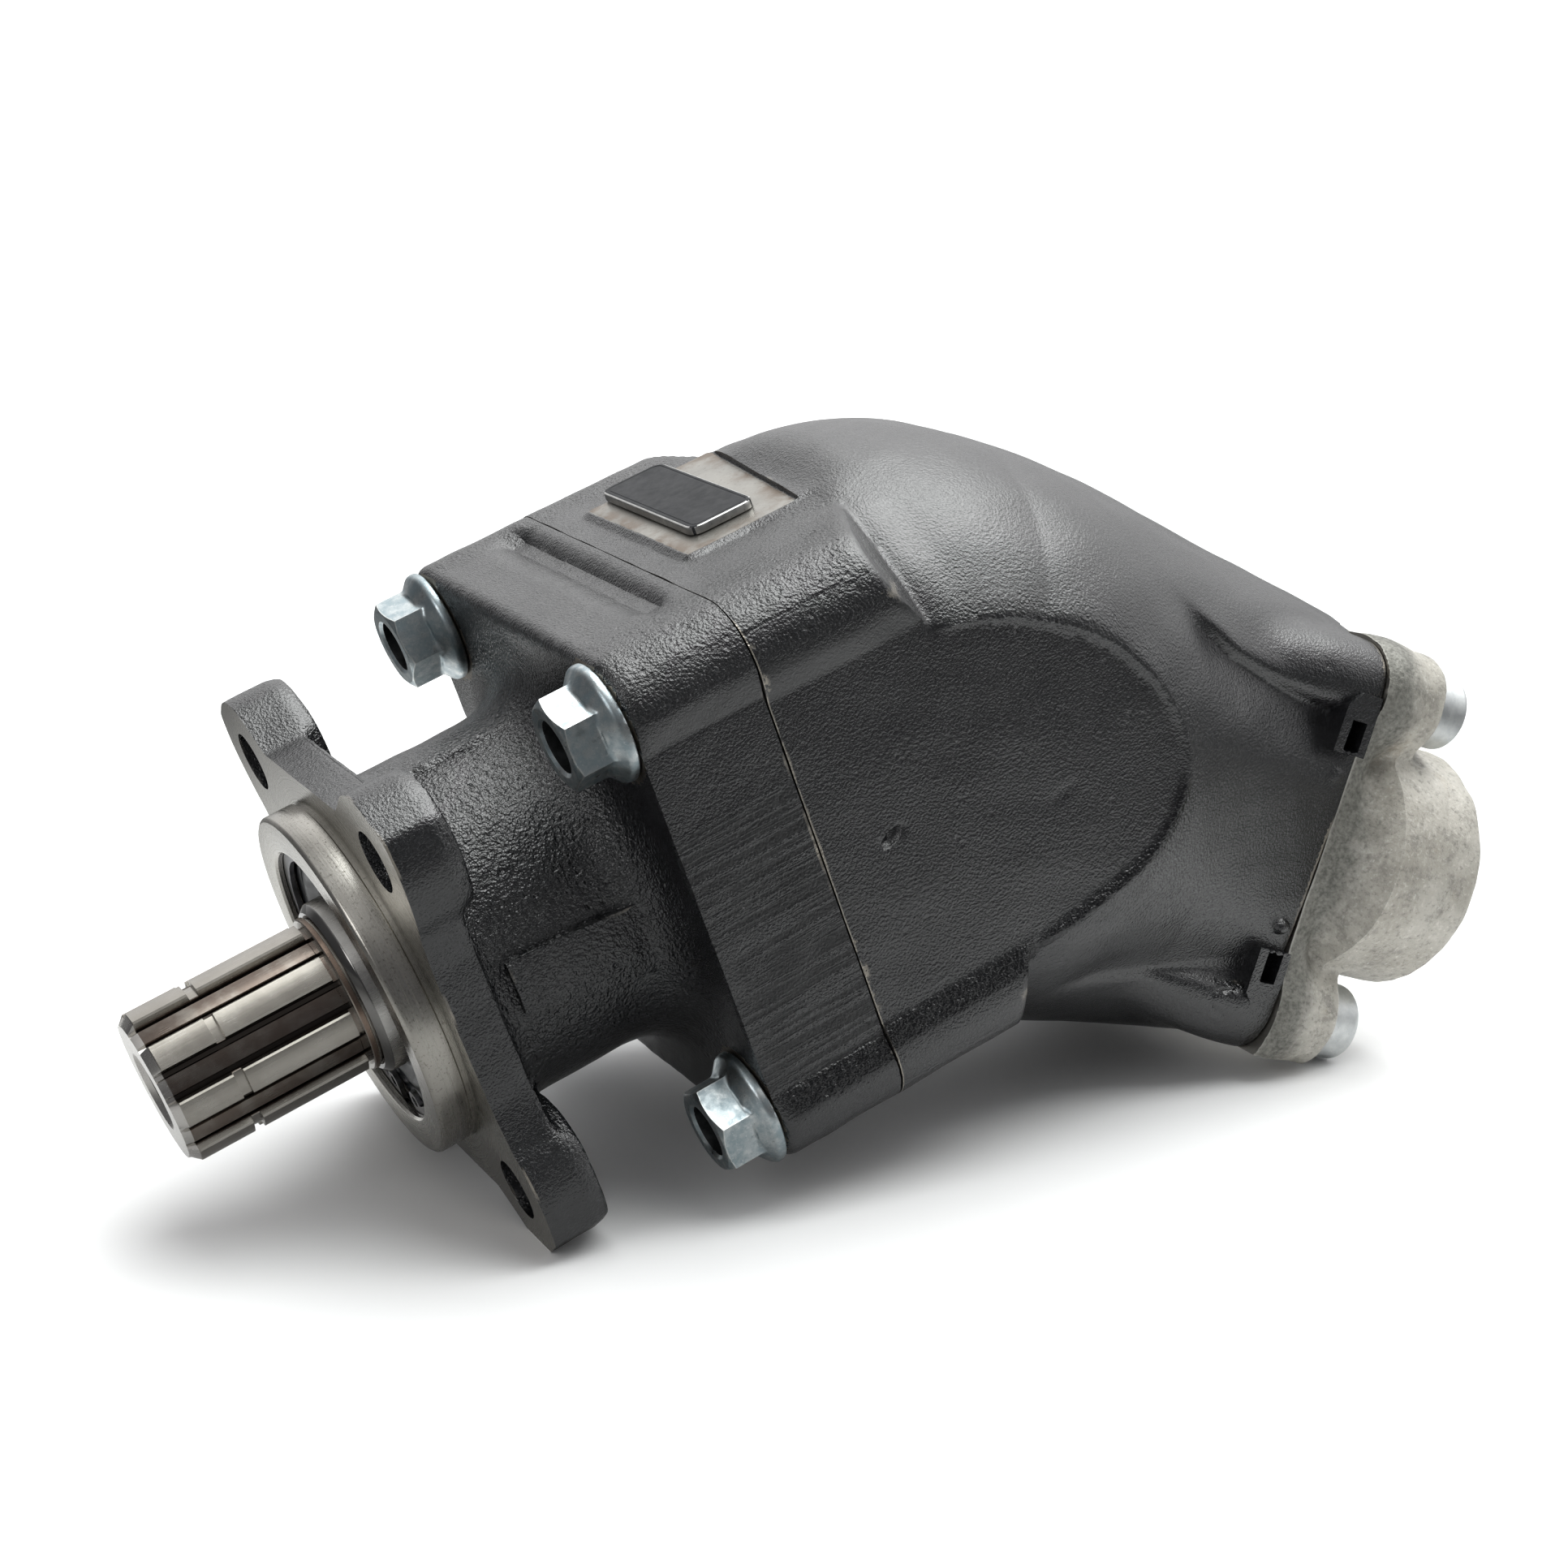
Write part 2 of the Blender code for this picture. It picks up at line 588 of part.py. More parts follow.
bearing("front_bearing", 12.6, 33.4, 20.3, 25.4, 29.6, 34.0, 14)
bearing("rear_bearing", 57.0, 80.2, 22.3, 28.4, 35.8, 42.8, 12)
o = obj(lathe([(33.8, 20.3), (33.8, 24.6), (56.2, 24.6), (56.2, 20.3)], 24, True), "bearing_spacer")
finish(o, "bearing_spacer", STEEL, stand)

# ------------------------------------------------------------------ ball retainer plate
o = obj(lathe([(BEND_X + GAP, 10.6), (BEND_X + GAP, 38.0), (BEND_X + GAP + 3.9, 38.0),
               (BEND_X + GAP + 3.9, 10.6)], 28, True), "ball_retainer")
cuts = []
for k in range(PISTONS):
    a = 2 * math.pi * k / PISTONS
    cuts.append(rod(BEND_X - 0.2, BEND_X + 5.0, 9.5, BALL_CIRCLE * math.sin(a),
                    BALL_CIRCLE * math.cos(a), 14, 8.6))
combine(o, cuts, "DIFFERENCE")
finish(o, "ball_retainer", BEARING, stand)

# ------------------------------------------------------------------ cylinder barrel
o = obj(lathe([(BARREL_FRONT, 0), (BARREL_FRONT, BARREL_R - 2), (BARREL_FRONT + 2, BARREL_R),
               (BARREL_REAR, BARREL_R), (BARREL_REAR, 0)], 28), "cylinder_barrel")
cuts = [rod(BARREL_FRONT - 1, 76.0, 9.2, seg=16)]
for k in range(PISTONS):
    a = 2 * math.pi * k / PISTONS
    y, z = BORE_CIRCLE * math.sin(a), BORE_CIRCLE * math.cos(a)
    cuts.append(lathe([(BARREL_FRONT - 1, 0), (BARREL_FRONT - 1, BORE_R), (84.0, BORE_R),
                       (84.0, KIDNEY_HALF), (BARREL_REAR + 1, KIDNEY_HALF), (BARREL_REAR + 1, 0)], 14))
    cuts[-1].transform(Matrix.Translation((0, y * MM, z * MM)))
combine(o, cuts, "DIFFERENCE")
finish(o, "cylinder_barrel", STEEL, tilt)

o = obj(lathe([(-7.0, 0)] + [(-7.0 * math.cos(math.pi * k / 8), 7.0 * math.sin(math.pi * k / 8))
                             for k in range(1, 6)]
              + [(9.0, 4.4), (34.0, 4.4), (34.0, 8.6), (38.0, 8.6), (38.0, 4.6), (64.0, 4.6),
                 (65.5, 3.2), (65.5, 0)], 14), "centre_pin")
finish(o, "centre_pin", STEEL, tilt)


def coil(x0, x1, major, wire, turns, steps=12, sides=5):
    rows = []
    n = int(turns * steps)
    for i in range(n + 1):
        t = 2 * math.pi * i / steps
        x = x0 + (x1 - x0) * i / n
        rows.append([(x + wire * math.cos(2 * math.pi * k / sides),
                      (major + wire * math.sin(2 * math.pi * k / sides)) * math.cos(t),
                      (major + wire * math.sin(2 * math.pi * k / sides)) * math.sin(t))
                     for k in range(sides)])
    return loft(rows)


o = obj(coil(39.4, 71.6, 7.0, 1.0, 5), "barrel_spring")
finish(o, "barrel_spring", SPRING, tilt, 60)
o = obj(lathe([(73.2, 0), (73.2, 8.7), (75.6, 8.7), (75.6, 0)], 16), "spring_seat")
finish(o, "spring_seat", BEARING, tilt)

# ------------------------------------------------------------------ valve plate and its pin
o = obj(lathe([(VALVE_FRONT, 0), (VALVE_FRONT, 35.4), (VALVE_REAR, 35.4), (VALVE_REAR, 0)], 28),
        "valve_plate")
combine(o, [prism(kidney(-1, KIDNEY_HALF), VALVE_FRONT - 2, VALVE_REAR + 2),
            prism(kidney(1, KIDNEY_HALF), VALVE_FRONT - 2, VALVE_REAR + 2),
            rod(97.0, VALVE_REAR + 2, 2.4, 0, 31.0, 10)], "DIFFERENCE")
finish(o, "valve_plate", BRONZE, tilt)
o = obj(rod(97.5, 108.5, 2.0, 0, 31.0, 10), "valve_plate_pin")
finish(o, "valve_plate_pin", BEARING, tilt)

# ------------------------------------------------------------------ pistons, origin on the ball
for k in range(PISTONS):
    a = 2 * math.pi * k / PISTONS
    prof = [(-BALL_R, 0.0)]
    prof += [(-BALL_R * math.cos(math.pi * i / 8), BALL_R * math.sin(math.pi * i / 8))
             for i in range(1, 7)]
    prof += [(BALL_R * 0.93, 3.3), (18.0, 3.5), (PISTON_L - 10.0, HEAD_R),
             (PISTON_L - 1.0, HEAD_R), (PISTON_L, HEAD_R - 0.8), (PISTON_L, 0.0)]
    o = obj(lathe(prof, 12), "piston_%d" % (k + 1))
    o.location = (BEND_X * MM, BALL_CIRCLE * math.sin(a) * MM, BALL_CIRCLE * math.cos(a) * MM)
    o.rotation_euler = (0.0, TH, 0.0)
    finish(o, "piston_%d" % (k + 1), BEARING, stand)
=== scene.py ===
import math

import bmesh
import bpy
import numpy as np
from mathutils import Matrix, Vector


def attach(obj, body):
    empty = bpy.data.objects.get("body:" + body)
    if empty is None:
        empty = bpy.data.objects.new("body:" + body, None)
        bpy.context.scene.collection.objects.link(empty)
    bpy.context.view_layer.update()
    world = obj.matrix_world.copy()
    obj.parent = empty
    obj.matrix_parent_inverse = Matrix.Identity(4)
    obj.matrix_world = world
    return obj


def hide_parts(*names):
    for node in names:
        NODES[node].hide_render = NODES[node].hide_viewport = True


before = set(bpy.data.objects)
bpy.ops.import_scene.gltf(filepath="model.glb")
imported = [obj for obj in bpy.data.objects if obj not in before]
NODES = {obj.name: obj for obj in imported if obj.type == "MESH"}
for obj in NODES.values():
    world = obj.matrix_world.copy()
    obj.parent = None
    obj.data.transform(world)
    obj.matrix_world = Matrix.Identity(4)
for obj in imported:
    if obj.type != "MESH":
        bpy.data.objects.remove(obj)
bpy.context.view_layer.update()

MM = 0.001

# The pump's own frame: X along the drive shaft from the flange face to the rear,
# Z up in the plane of the bend.  The barrel frame starts at the bend, 40 degrees down.
PITCH, BEND = math.radians(19.017), math.radians(40.0)
BEND_X = 123.0
PUMP = Matrix.Translation((-0.100678, 0.0, 0.050494)) @ Matrix.Rotation(-PITCH, 4, "Y")
TO_BARREL = Matrix.Translation((BEND_X * MM, 0, 0)) @ Matrix.Rotation(BEND, 4, "Y")
BARREL = PUMP @ TO_BARREL
CB, SB = math.cos(BEND), math.sin(BEND)
CORNERS = ((1, 1), (-1, 1), (-1, -1), (1, -1))


# ------------------------------------------------------------------ solid fields
def smin(a, b, k):
    h = np.clip(0.5 + 0.5 * (b - a) / k, 0.0, 1.0)
    return b + (a - b) * h - k * h * (1.0 - h)


def smax(a, b, k):
    return -smin(-a, -b, k)


def step(a, b, v):
    t = np.clip((v - a) / (b - a), 0.0, 1.0)
    return t * t * (3.0 - 2.0 * t)


def rsquare(y, z, half, r, half_z=None):
    qy = np.abs(y) - (half - r)
    qz = np.abs(z) - ((half if half_z is None else half_z) - r)
    return np.hypot(np.maximum(qy, 0), np.maximum(qz, 0)) + np.minimum(np.maximum(qy, qz), 0) - r


def slab(v, lo, hi):
    return np.maximum(lo - v, v - hi)


def disc(y, z, cy, cz, r):
    return np.hypot(y - cy, z - cz) - r


def polygon(u, v, pts):
    """Distance to a closed outline in the plane, negative inside."""
    d = None
    inside = False
    n = len(pts)
    for i in range(n):
        (ax, ay), (bx, by) = pts[i], pts[(i + 1) % n]
        ex, ey = bx - ax, by - ay
        wx, wy = u - ax, v - ay
        t = np.clip((wx * ex + wy * ey) / (ex * ex + ey * ey), 0.0, 1.0)
        q = (wx - ex * t) ** 2 + (wy - ey * t) ** 2
        d = q if d is None else np.minimum(d, q)
        if ay != by:
            inside = inside ^ (((ay > v) != (by > v)) & (u < ex * (v - ay) / ey + ax))
    return np.where(inside, -1.0, 1.0) * np.sqrt(d)


def waves(x, y, z, size, seed):
    """Smooth, repeatable unevenness of about +-1 with features near the given size."""
    rng = np.random.RandomState(seed)
    out = 0.0
    for _ in range(6):
        d = rng.normal(size=3)
        d *= 2 * math.pi / (size * rng.uniform(0.7, 1.6)) / np.linalg.norm(d)
        out = out + np.sin(d[0] * x + d[1] * y + d[2] * z + rng.uniform(0, 6.28))
    return out / 3.0


def contour(f, xs, ys, zs, reg=0.03):
    """Skin of f = 0 as quads, with a vertex in every crossed cell that keeps sharp edges."""
    axes = [np.asarray(a, float) for a in (xs, ys, zs)]
    n = [len(a) for a in axes]
    V = np.array(np.broadcast_to(f(axes[0][:, None, None], axes[1][None, :, None],
                                   axes[2][None, None, :]), n), np.float32)
    S = V < 0
    cells, pts, nrm, quads = [], [], [], []
    for ax in range(3):
        a = [slice(None)] * 3
        b = [slice(None)] * 3
        a[ax], b[ax] = slice(0, -1), slice(1, None)
        idx = np.argwhere(S[tuple(a)] != S[tuple(b)])
        nxt = idx.copy()
        nxt[:, ax] += 1
        v0 = V[tuple(idx.T)].astype(float)
        v1 = V[tuple(nxt.T)].astype(float)
        inside0 = v0 < 0
        P = np.stack([axes[c][idx[:, c]] for c in range(3)], 1)
        lo, hi = axes[ax][idx[:, ax]].copy(), axes[ax][nxt[:, ax]].copy()
        for _ in range(3):
            P[:, ax] = lo + (hi - lo) * np.clip(v0 / (v0 - v1), 0.02, 0.98)
            fp = f(P[:, 0], P[:, 1], P[:, 2])
            same = (fp < 0) == inside0
            lo, v0 = np.where(same, P[:, ax], lo), np.where(same, fp, v0)
            hi, v1 = np.where(same, hi, P[:, ax]), np.where(same, v1, fp)
        P[:, ax] = lo + (hi - lo) * np.clip(v0 / (v0 - v1 + 1e-12), 0, 1)
        e = 0.04
        g = np.stack([f(P[:, 0] + e * (c == 0), P[:, 1] + e * (c == 1), P[:, 2] + e * (c == 2))
                      - f(P[:, 0] - e * (c == 0), P[:, 1] - e * (c == 1), P[:, 2] - e * (c == 2))
                      for c in range(3)], 1)
        g /= np.linalg.norm(g, axis=1, keepdims=True) + 1e-12
        u, w = (ax + 1) % 3, (ax + 2) % 3
        four = []
        for du, dw in ((-1, -1), (0, -1), (0, 0), (-1, 0)):
            c = idx.copy()
            c[:, u] += du
            c[:, w] += dw
            four.append((c[:, 0] * (n[1] - 1) + c[:, 1]) * (n[2] - 1) + c[:, 2])
        four = np.stack(four, 1)
        quads.append(np.where(inside0[:, None], four, four[:, ::-1]))
        cells.append(four.T.ravel())
        pts.append(np.tile(P, (4, 1)))
        nrm.append(np.tile(g, (4, 1)))
    cells, pts, nrm = np.concatenate(cells), np.concatenate(pts), np.concatenate(nrm)
    quads = np.concatenate(quads)
    ids, inv = np.unique(cells, return_inverse=True)
    m = len(ids)
    cnt = np.bincount(inv, minlength=m).astype(float)
    mean = np.stack([np.bincount(inv, pts[:, c], m) for c in range(3)], 1) / cnt[:, None]
    d = np.sum(nrm * (pts - mean[inv]), 1)
    A = np.zeros((m, 3, 3))
    B = np.zeros((m, 3))
    for r in range(3):
        B[:, r] = np.bincount(inv, nrm[:, r] * d, m)
        for c in range(r, 3):
            A[:, r, c] = A[:, c, r] = np.bincount(inv, nrm[:, r] * nrm[:, c], m)
    A += np.eye(3)[None] * (reg * cnt)[:, None, None]
    x = mean + np.linalg.solve(A, B[:, :, None])[:, :, 0]
    ci = ids // ((n[1] - 1) * (n[2] - 1))
    cj = ids // (n[2] - 1) % (n[1] - 1)
    ck = ids % (n[2] - 1)
    for c, i in enumerate((ci, cj, ck)):
        lo, hi = axes[c][i], axes[c][i + 1]
        x[:, c] = np.clip(x[:, c], lo - 0.1 * (hi - lo), hi + 0.1 * (hi - lo))
    faces = np.searchsorted(ids, quads)
    return x, faces


def grid(lo, hi, h):
    return lo + h * np.arange(int(math.ceil((hi - lo) / h)) + 1)


def mesh_from(name, pts, quads, scale=MM, sharp=38.0):
    me = bpy.data.meshes.new(name)
    pts = np.asarray(pts, np.float32) * scale
    quads = np.asarray(quads, np.int32)
    k = quads.shape[1]
    me.vertices.add(len(pts))
    me.vertices.foreach_set("co", pts.ravel())
    me.loops.add(quads.size)
    me.loops.foreach_set("vertex_index", quads.ravel())
    me.polygons.add(len(quads))
    me.polygons.foreach_set("loop_start", np.arange(0, quads.size, k, dtype=np.int32))
    me.update(calc_edges=True)
    me.validate()
    me.shade_smooth()
    me.set_sharp_from_angle(angle=math.radians(sharp))
    return me


def mark_edges(me, f, x, e):
    """A per-point 'edge' value: + on outer edges, - in hollows."""
    X, Y, Z = x[:, 0], x[:, 1], x[:, 2]
    lap = -6.0 * f(X, Y, Z)
    for c in range(3):
        for s in (-e, e):
            lap = lap + f(X + s * (c == 0), Y + s * (c == 1), Z + s * (c == 2))
    at = me.attributes.new("edge", "FLOAT", "POINT")
    at.data.foreach_set("value", np.clip(lap / (2.0 * e), -1, 1).astype(np.float32))


def field_mesh(name, f, xs, ys, zs, sharp=38.0, edge_eps=1.1):
    x, q = contour(f, xs, ys, zs)
    me = mesh_from(name, x, q, sharp=sharp)
    mark_edges(me, f, x, edge_eps)
    return me


def centres(me):
    n = len(me.polygons)
    c = np.zeros(n * 3, np.float32)
    v = np.zeros(n * 3, np.float32)
    me.polygons.foreach_get("center", c)
    me.polygons.foreach_get("normal", v)
    return c.reshape(-1, 3) / MM, v.reshape(-1, 3)


def paint_faces(me, slots):
    me.polygons.foreach_set("material_index", np.asarray(slots, np.int32))
    me.update()


def place(name, me, where, body, node, mats):
    co = np.zeros(len(me.vertices) * 3, np.float32)
    me.vertices.foreach_get("co", co)
    me.attributes.new("own_frame", "FLOAT_VECTOR", "POINT").data.foreach_set("vector", co)
    me.transform(where)
    me.update()
    o = bpy.data.objects.new(name, me)
    bpy.context.scene.collection.objects.link(o)
    keep = np.zeros(len(me.polygons), np.int32)
    me.polygons.foreach_get("material_index", keep)
    me.materials.clear()
    for m in mats:
        me.materials.append(m)
    me.polygons.foreach_set("material_index", np.clip(keep, 0, len(mats) - 1).astype(np.int32))
    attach(o, body)
    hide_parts(node)
    return o


def boolean(me, tool, op, name):
    """me with another closed mesh added or taken away."""
    a = bpy.data.objects.new(name + "_a", me)
    b = bpy.data.objects.new(name + "_b", tool)
    for o in (a, b):
        bpy.context.scene.collection.objects.link(o)
    m = a.modifiers.new("b", "BOOLEAN")
    m.operation, m.solver, m.object = op, "MANIFOLD", b
    dg = bpy.context.evaluated_depsgraph_get()
    out = bpy.data.meshes.new_from_object(a.evaluated_get(dg), preserve_all_data_layers=True, depsgraph=dg)
    for o in (a, b):
        bpy.data.objects.remove(o, do_unlink=True)
    out.name = name
    return out


def skin(rows, closed_rows=False, caps=True):
    """Quads and end fans through rings of equal point count; returns a bmesh."""
    bm = bmesh.new()
    vs = [[bm.verts.new(p) for p in row] for row in rows]
    n = len(vs[0])
    pairs = list(zip(vs, vs[1:])) + ([(vs[-1], vs[0])] if closed_rows else [])
    for a, b in pairs:
        for i in range(n):
            j = (i + 1) % n
            bm.faces.new((a[i], a[j], b[j], b[i]))
    if caps and not closed_rows:
        for row in (vs[0], vs[-1]):
            mid = bm.verts.new(sum((v.co for v in row), Vector()) / n)
            for i in range(n):
                bm.faces.new((row[i], row[(i + 1) % n], mid))
    bmesh.ops.recalc_face_normals(bm, faces=bm.faces)
    return bm


def to_mesh(bm, name, sharp=32.0, scale=MM):
    bm.transform(Matrix.Scale(scale, 4))
    bmesh.ops.recalc_face_normals(bm, faces=bm.faces)
    me = bpy.data.meshes.new(name)
    bm.to_mesh(me)
    bm.free()
    me.shade_smooth()
    me.set_sharp_from_angle(angle=math.radians(sharp))
    return me


def lathe(profile, seg=96, closed=False, cy=0.0, cz=0.0):
    """Turn (x, r) points about X."""
    rows = [[(x, cy + r * math.cos(2 * math.pi * k / seg), cz + r * math.sin(2 * math.pi * k / seg))
             for k in range(seg)] for x, r in profile]
    return skin(rows, closed)


# ------------------------------------------------------------------ shader helpers
class Tree:
    """A material's nodes; own=True takes the piece's own frame, not the row frame, for its pattern."""

    def __init__(self, name, own=False):
        self.m = bpy.data.materials.new(name)
        self.m.use_nodes = True
        self.t = self.m.node_tree
        self.t.nodes.clear()
        self.out = self.t.nodes.new("ShaderNodeOutputMaterial")
        self.b = self.t.nodes.new("ShaderNodeBsdfPrincipled")
        self.t.links.new(self.b.outputs[0], self.out.inputs[0])
        if own:
            n = self.t.nodes.new("ShaderNodeAttribute")
            n.attribute_name = "own_frame"
            self.co = n.outputs["Vector"]
        else:
            self.co = self.t.nodes.new("ShaderNodeTexCoord").outputs["Object"]

    def put(self, socket, v):
        if isinstance(v, bpy.types.NodeSocket):
            self.t.links.new(v, socket)
        else:
            socket.default_value = v

    def set(self, **kw):
        for k, v in kw.items():
            self.put(self.b.inputs[k.replace("_", " ")], v)

    def noise(self, scale, detail=2.0, rough=0.5, co=None, distort=0.0):
        n = self.t.nodes.new("ShaderNodeTexNoise")
        n.inputs["Scale"].default_value = scale
        n.inputs["Detail"].default_value = detail
        n.inputs["Roughness"].default_value = rough
        n.inputs["Distortion"].default_value = distort
        self.t.links.new(co or self.co, n.inputs["Vector"])
        return n.outputs[0]

    def noise1(self, w, scale, detail=2.0, rough=0.5):
        n = self.t.nodes.new("ShaderNodeTexNoise")
        n.noise_dimensions = "1D"
        n.inputs["Scale"].default_value = scale
        n.inputs["Detail"].default_value = detail
        n.inputs["Roughness"].default_value = rough
        self.t.links.new(w, n.inputs["W"])
        return n.outputs[0]

    def cells(self, scale, feature="F1", co=None, random=1.0):
        n = self.t.nodes.new("ShaderNodeTexVoronoi")
        n.feature = feature
        n.inputs["Scale"].default_value = scale
        n.inputs["Randomness"].default_value = random
        self.t.links.new(co or self.co, n.inputs["Vector"])
        return n.outputs["Distance"]

    def math(self, op, a, b=0.0, clamp=False):
        n = self.t.nodes.new("ShaderNodeMath")
        n.operation = op
        n.use_clamp = clamp
        self.put(n.inputs[0], a)
        self.put(n.inputs[1], b)
        return n.outputs[0]

    def span(self, v, a, b, lo=0.0, hi=1.0, kind="SMOOTHSTEP"):
        n = self.t.nodes.new("ShaderNodeMapRange")
        n.interpolation_type = kind
        self.put(n.inputs["Value"], v)
        n.inputs["From Min"].default_value = a
        n.inputs["From Max"].default_value = b
        n.inputs["To Min"].default_value = lo
        n.inputs["To Max"].default_value = hi
        return n.outputs[0]

    def mix(self, f, a, b):
        n = self.t.nodes.new("ShaderNodeMix")
        n.data_type = "RGBA"
        self.put(n.inputs[0], f)
        self.put(n.inputs[6], (*a, 1.0) if isinstance(a, tuple) else a)
        self.put(n.inputs[7], (*b, 1.0) if isinstance(b, tuple) else b)
        return n.outputs[2]

    def attr(self, name):
        n = self.t.nodes.new("ShaderNodeAttribute")
        n.attribute_name = name
        return n.outputs["Fac"]

    def xyz(self):
        n = self.t.nodes.new("ShaderNodeSeparateXYZ")
        self.t.links.new(self.co, n.inputs[0])
        return n.outputs

    def stretch(self, sx, sy, sz):
        n = self.t.nodes.new("ShaderNodeMapping")
        n.inputs["Scale"].default_value = (sx, sy, sz)
        self.t.links.new(self.co, n.inputs["Vector"])
        return n.outputs[0]

    def bump(self, h, dist, normal=None):
        n = self.t.nodes.new("ShaderNodeBump")
        n.inputs["Strength"].default_value = 1.0
        n.inputs["Distance"].default_value = dist
        self.put(n.inputs["Height"], h)
        if normal is not None:
            self.t.links.new(normal, n.inputs["Normal"])
        return n.outputs[0]


# ------------------------------------------------------------------ materials
def black_paint(name, seam=None, streaks=False, pad=False):
    """Semi-gloss black paint over an as-cast skin, rubbed on edges, stained and dusty, with painted highlights and
    painted shade in its grain, pits, grooves and lower ramp.
    """
    t = Tree(name, True)
    x, y, z = t.xyz()
    peel = t.noise(1650.0, 1.6, 0.5)
    grain = t.noise(3600.0, 1.0, 0.5)
    broad = t.noise(38.0, 4.0, 0.6)
    blot = t.noise(120.0, 4.0, 0.62)
    edge = t.attr("edge")
    rough = t.attr("rough")
    pits = t.span(t.cells(330.0), 0.10, 0.30, 1.0, 0.0)
    pits = t.math("MULTIPLY", pits, t.span(blot, 0.47, 0.62))
    pits = t.math("MULTIPLY", pits, t.span(rough, 0.0, 1.0))
    col = t.mix(t.span(broad, 0.35, 0.7), (0.0040, 0.0043, 0.0050), (0.0068, 0.0072, 0.0080))
    # lighter on the peel's raised bumps and the fine grain, darker in the peel's dips: painted highlights and painted
    # shade of the grain
    col = t.mix(t.span(peel, 0.54, 0.74, 0.0, 0.50), col, (0.017, 0.018, 0.020))
    col = t.mix(t.span(peel, 0.46, 0.30, 0.0, 0.80), col, (0.0012, 0.0013, 0.0016))
    col = t.mix(t.span(grain, 0.62, 0.76, 0.0, 0.40), col, (0.027, 0.027, 0.028))
    # brownish stain and dust
    stain = t.math("MULTIPLY", t.span(t.noise(22.0, 5.0, 0.65), 0.62, 0.78),
                   t.span(t.noise(260.0, 3.0, 0.6), 0.50, 0.66, 0.0, 0.4))
    col = t.mix(stain, col, (0.048, 0.042, 0.034))
    # rubbed edges
    wear = t.math("ADD", t.math("MULTIPLY", edge, 1.1), t.math("MULTIPLY", t.noise(310.0, 4.0, 0.7), 0.55))
    wear = t.math("MULTIPLY", t.span(wear, 0.78, 0.98), t.span(t.noise(34.0, 3.0, 0.6), 0.56, 0.68))
    if seam is not None:
        off = t.math("ABSOLUTE", t.math("SUBTRACT", x, seam * MM))
        near = t.span(off, 0.00016, 0.00036, 1.0, 0.0)
        side = t.span(t.math("ABSOLUTE", y), 0.0535, 0.0562)
        broken = t.span(t.noise(210.0, 3.0, 0.6), 0.33, 0.50)
        near = t.math("MULTIPLY", t.math("MULTIPLY", near, side), broken)
        chip = t.math("MULTIPLY", t.span(off, 0.0004, 0.0018, 1.0, 0.0), t.span(t.noise(330.0, 4.0, 0.7), 0.56, 0.62))
        chip = t.math("MULTIPLY", chip, t.span(t.noise(42.0, 2.0, 0.5), 0.55, 0.62))
        near = t.math("MAXIMUM", near, t.math("MULTIPLY", chip, side))
        # a worn spot near the rear end of each corner
        wx = t.math("DIVIDE", t.math("SUBTRACT", x, 0.1150), 0.0036)
        wz = t.math("DIVIDE", t.math("SUBTRACT", t.math("ABSOLUTE", z), 0.0487), 0.0021)
        spot = t.math("SQRT", t.math("ADD", t.math("MULTIPLY", wx, wx), t.math("MULTIPLY", wz, wz)))
        spot = t.math("ADD", spot, t.math("MULTIPLY", t.math("SUBTRACT", t.noise(520.0, 4.0, 0.7), 0.5), 3.4))
        near = t.math("MAXIMUM", near, t.math("MULTIPLY", t.span(spot, 0.25, 0.80, 0.40, 0.0), side))
        wear = t.math("MAXIMUM", wear, near)
    col = t.mix(wear, col, (0.30, 0.275, 0.235))
    # darker in the pits: painted shade
    col = t.mix(t.math("MULTIPLY", pits, 0.7), col, (0.004, 0.004, 0.005))
    ramp_gloss_and_shade = t.attr("ramp_gloss_and_shade")
    # the lower ramp band is darkened in colour: painted shade, besides its glossier finish
    col = t.mix(t.math("MULTIPLY", ramp_gloss_and_shade, 0.9), col, (0.0011, 0.0012, 0.0018))
    r = t.span(t.noise(90.0, 3.0, 0.6), 0.3, 0.7, 0.15, 0.26, "LINEAR")
    r = t.math("SUBTRACT", r, t.math("MULTIPLY", ramp_gloss_and_shade, 0.07))
    r = t.math("ADD", r, t.span(rough, 0.0, -1.0, 0.0, 0.20))
    metal = t.math("MULTIPLY", wear, 0.7)
    h = t.math("ADD", t.math("MULTIPLY", peel, t.span(rough, -1.0, 1.0, 0.10, 1.45, "LINEAR")),
               t.math("MULTIPLY", grain, 0.30))
    h = t.math("ADD", h, t.math("MULTIPLY", t.noise(950.0, 1.5, 0.5), t.span(rough, 0.55, 1.0, 0.0, 1.6, "LINEAR")))
    h = t.math("SUBTRACT", h, t.math("MULTIPLY", pits, 1.0))
    if streaks:
        lines = t.noise(1.0, 2.0, 0.6, co=t.stretch(24.0, 40.0, 820.0))
        cut = t.span(lines, 0.44, 0.60, 1.0, 0.0)
        zone = t.math("MULTIPLY", t.span(t.math("ABSOLUTE", y), 0.0566, 0.0574),
                      t.span(t.noise(30.0, 3.0, 0.6), 0.36, 0.56))
        zone = t.math("MULTIPLY", zone, t.span(z, 0.030, 0.012))
        zone = t.math("MULTIPLY", zone, t.span(z, -0.0415, -0.0395))
        groove = t.math("MULTIPLY", cut, zone)
        h = t.math("SUBTRACT", h, t.math("MULTIPLY", groove, 0.45))
        # the grooves are darkened in colour: painted shade in them
        col = t.mix(t.math("MULTIPLY", groove, 0.55), col, (0.0012, 0.0013, 0.0016))
        r = t.math("ADD", r, t.math("MULTIPLY", groove, 0.16))
    if pad:
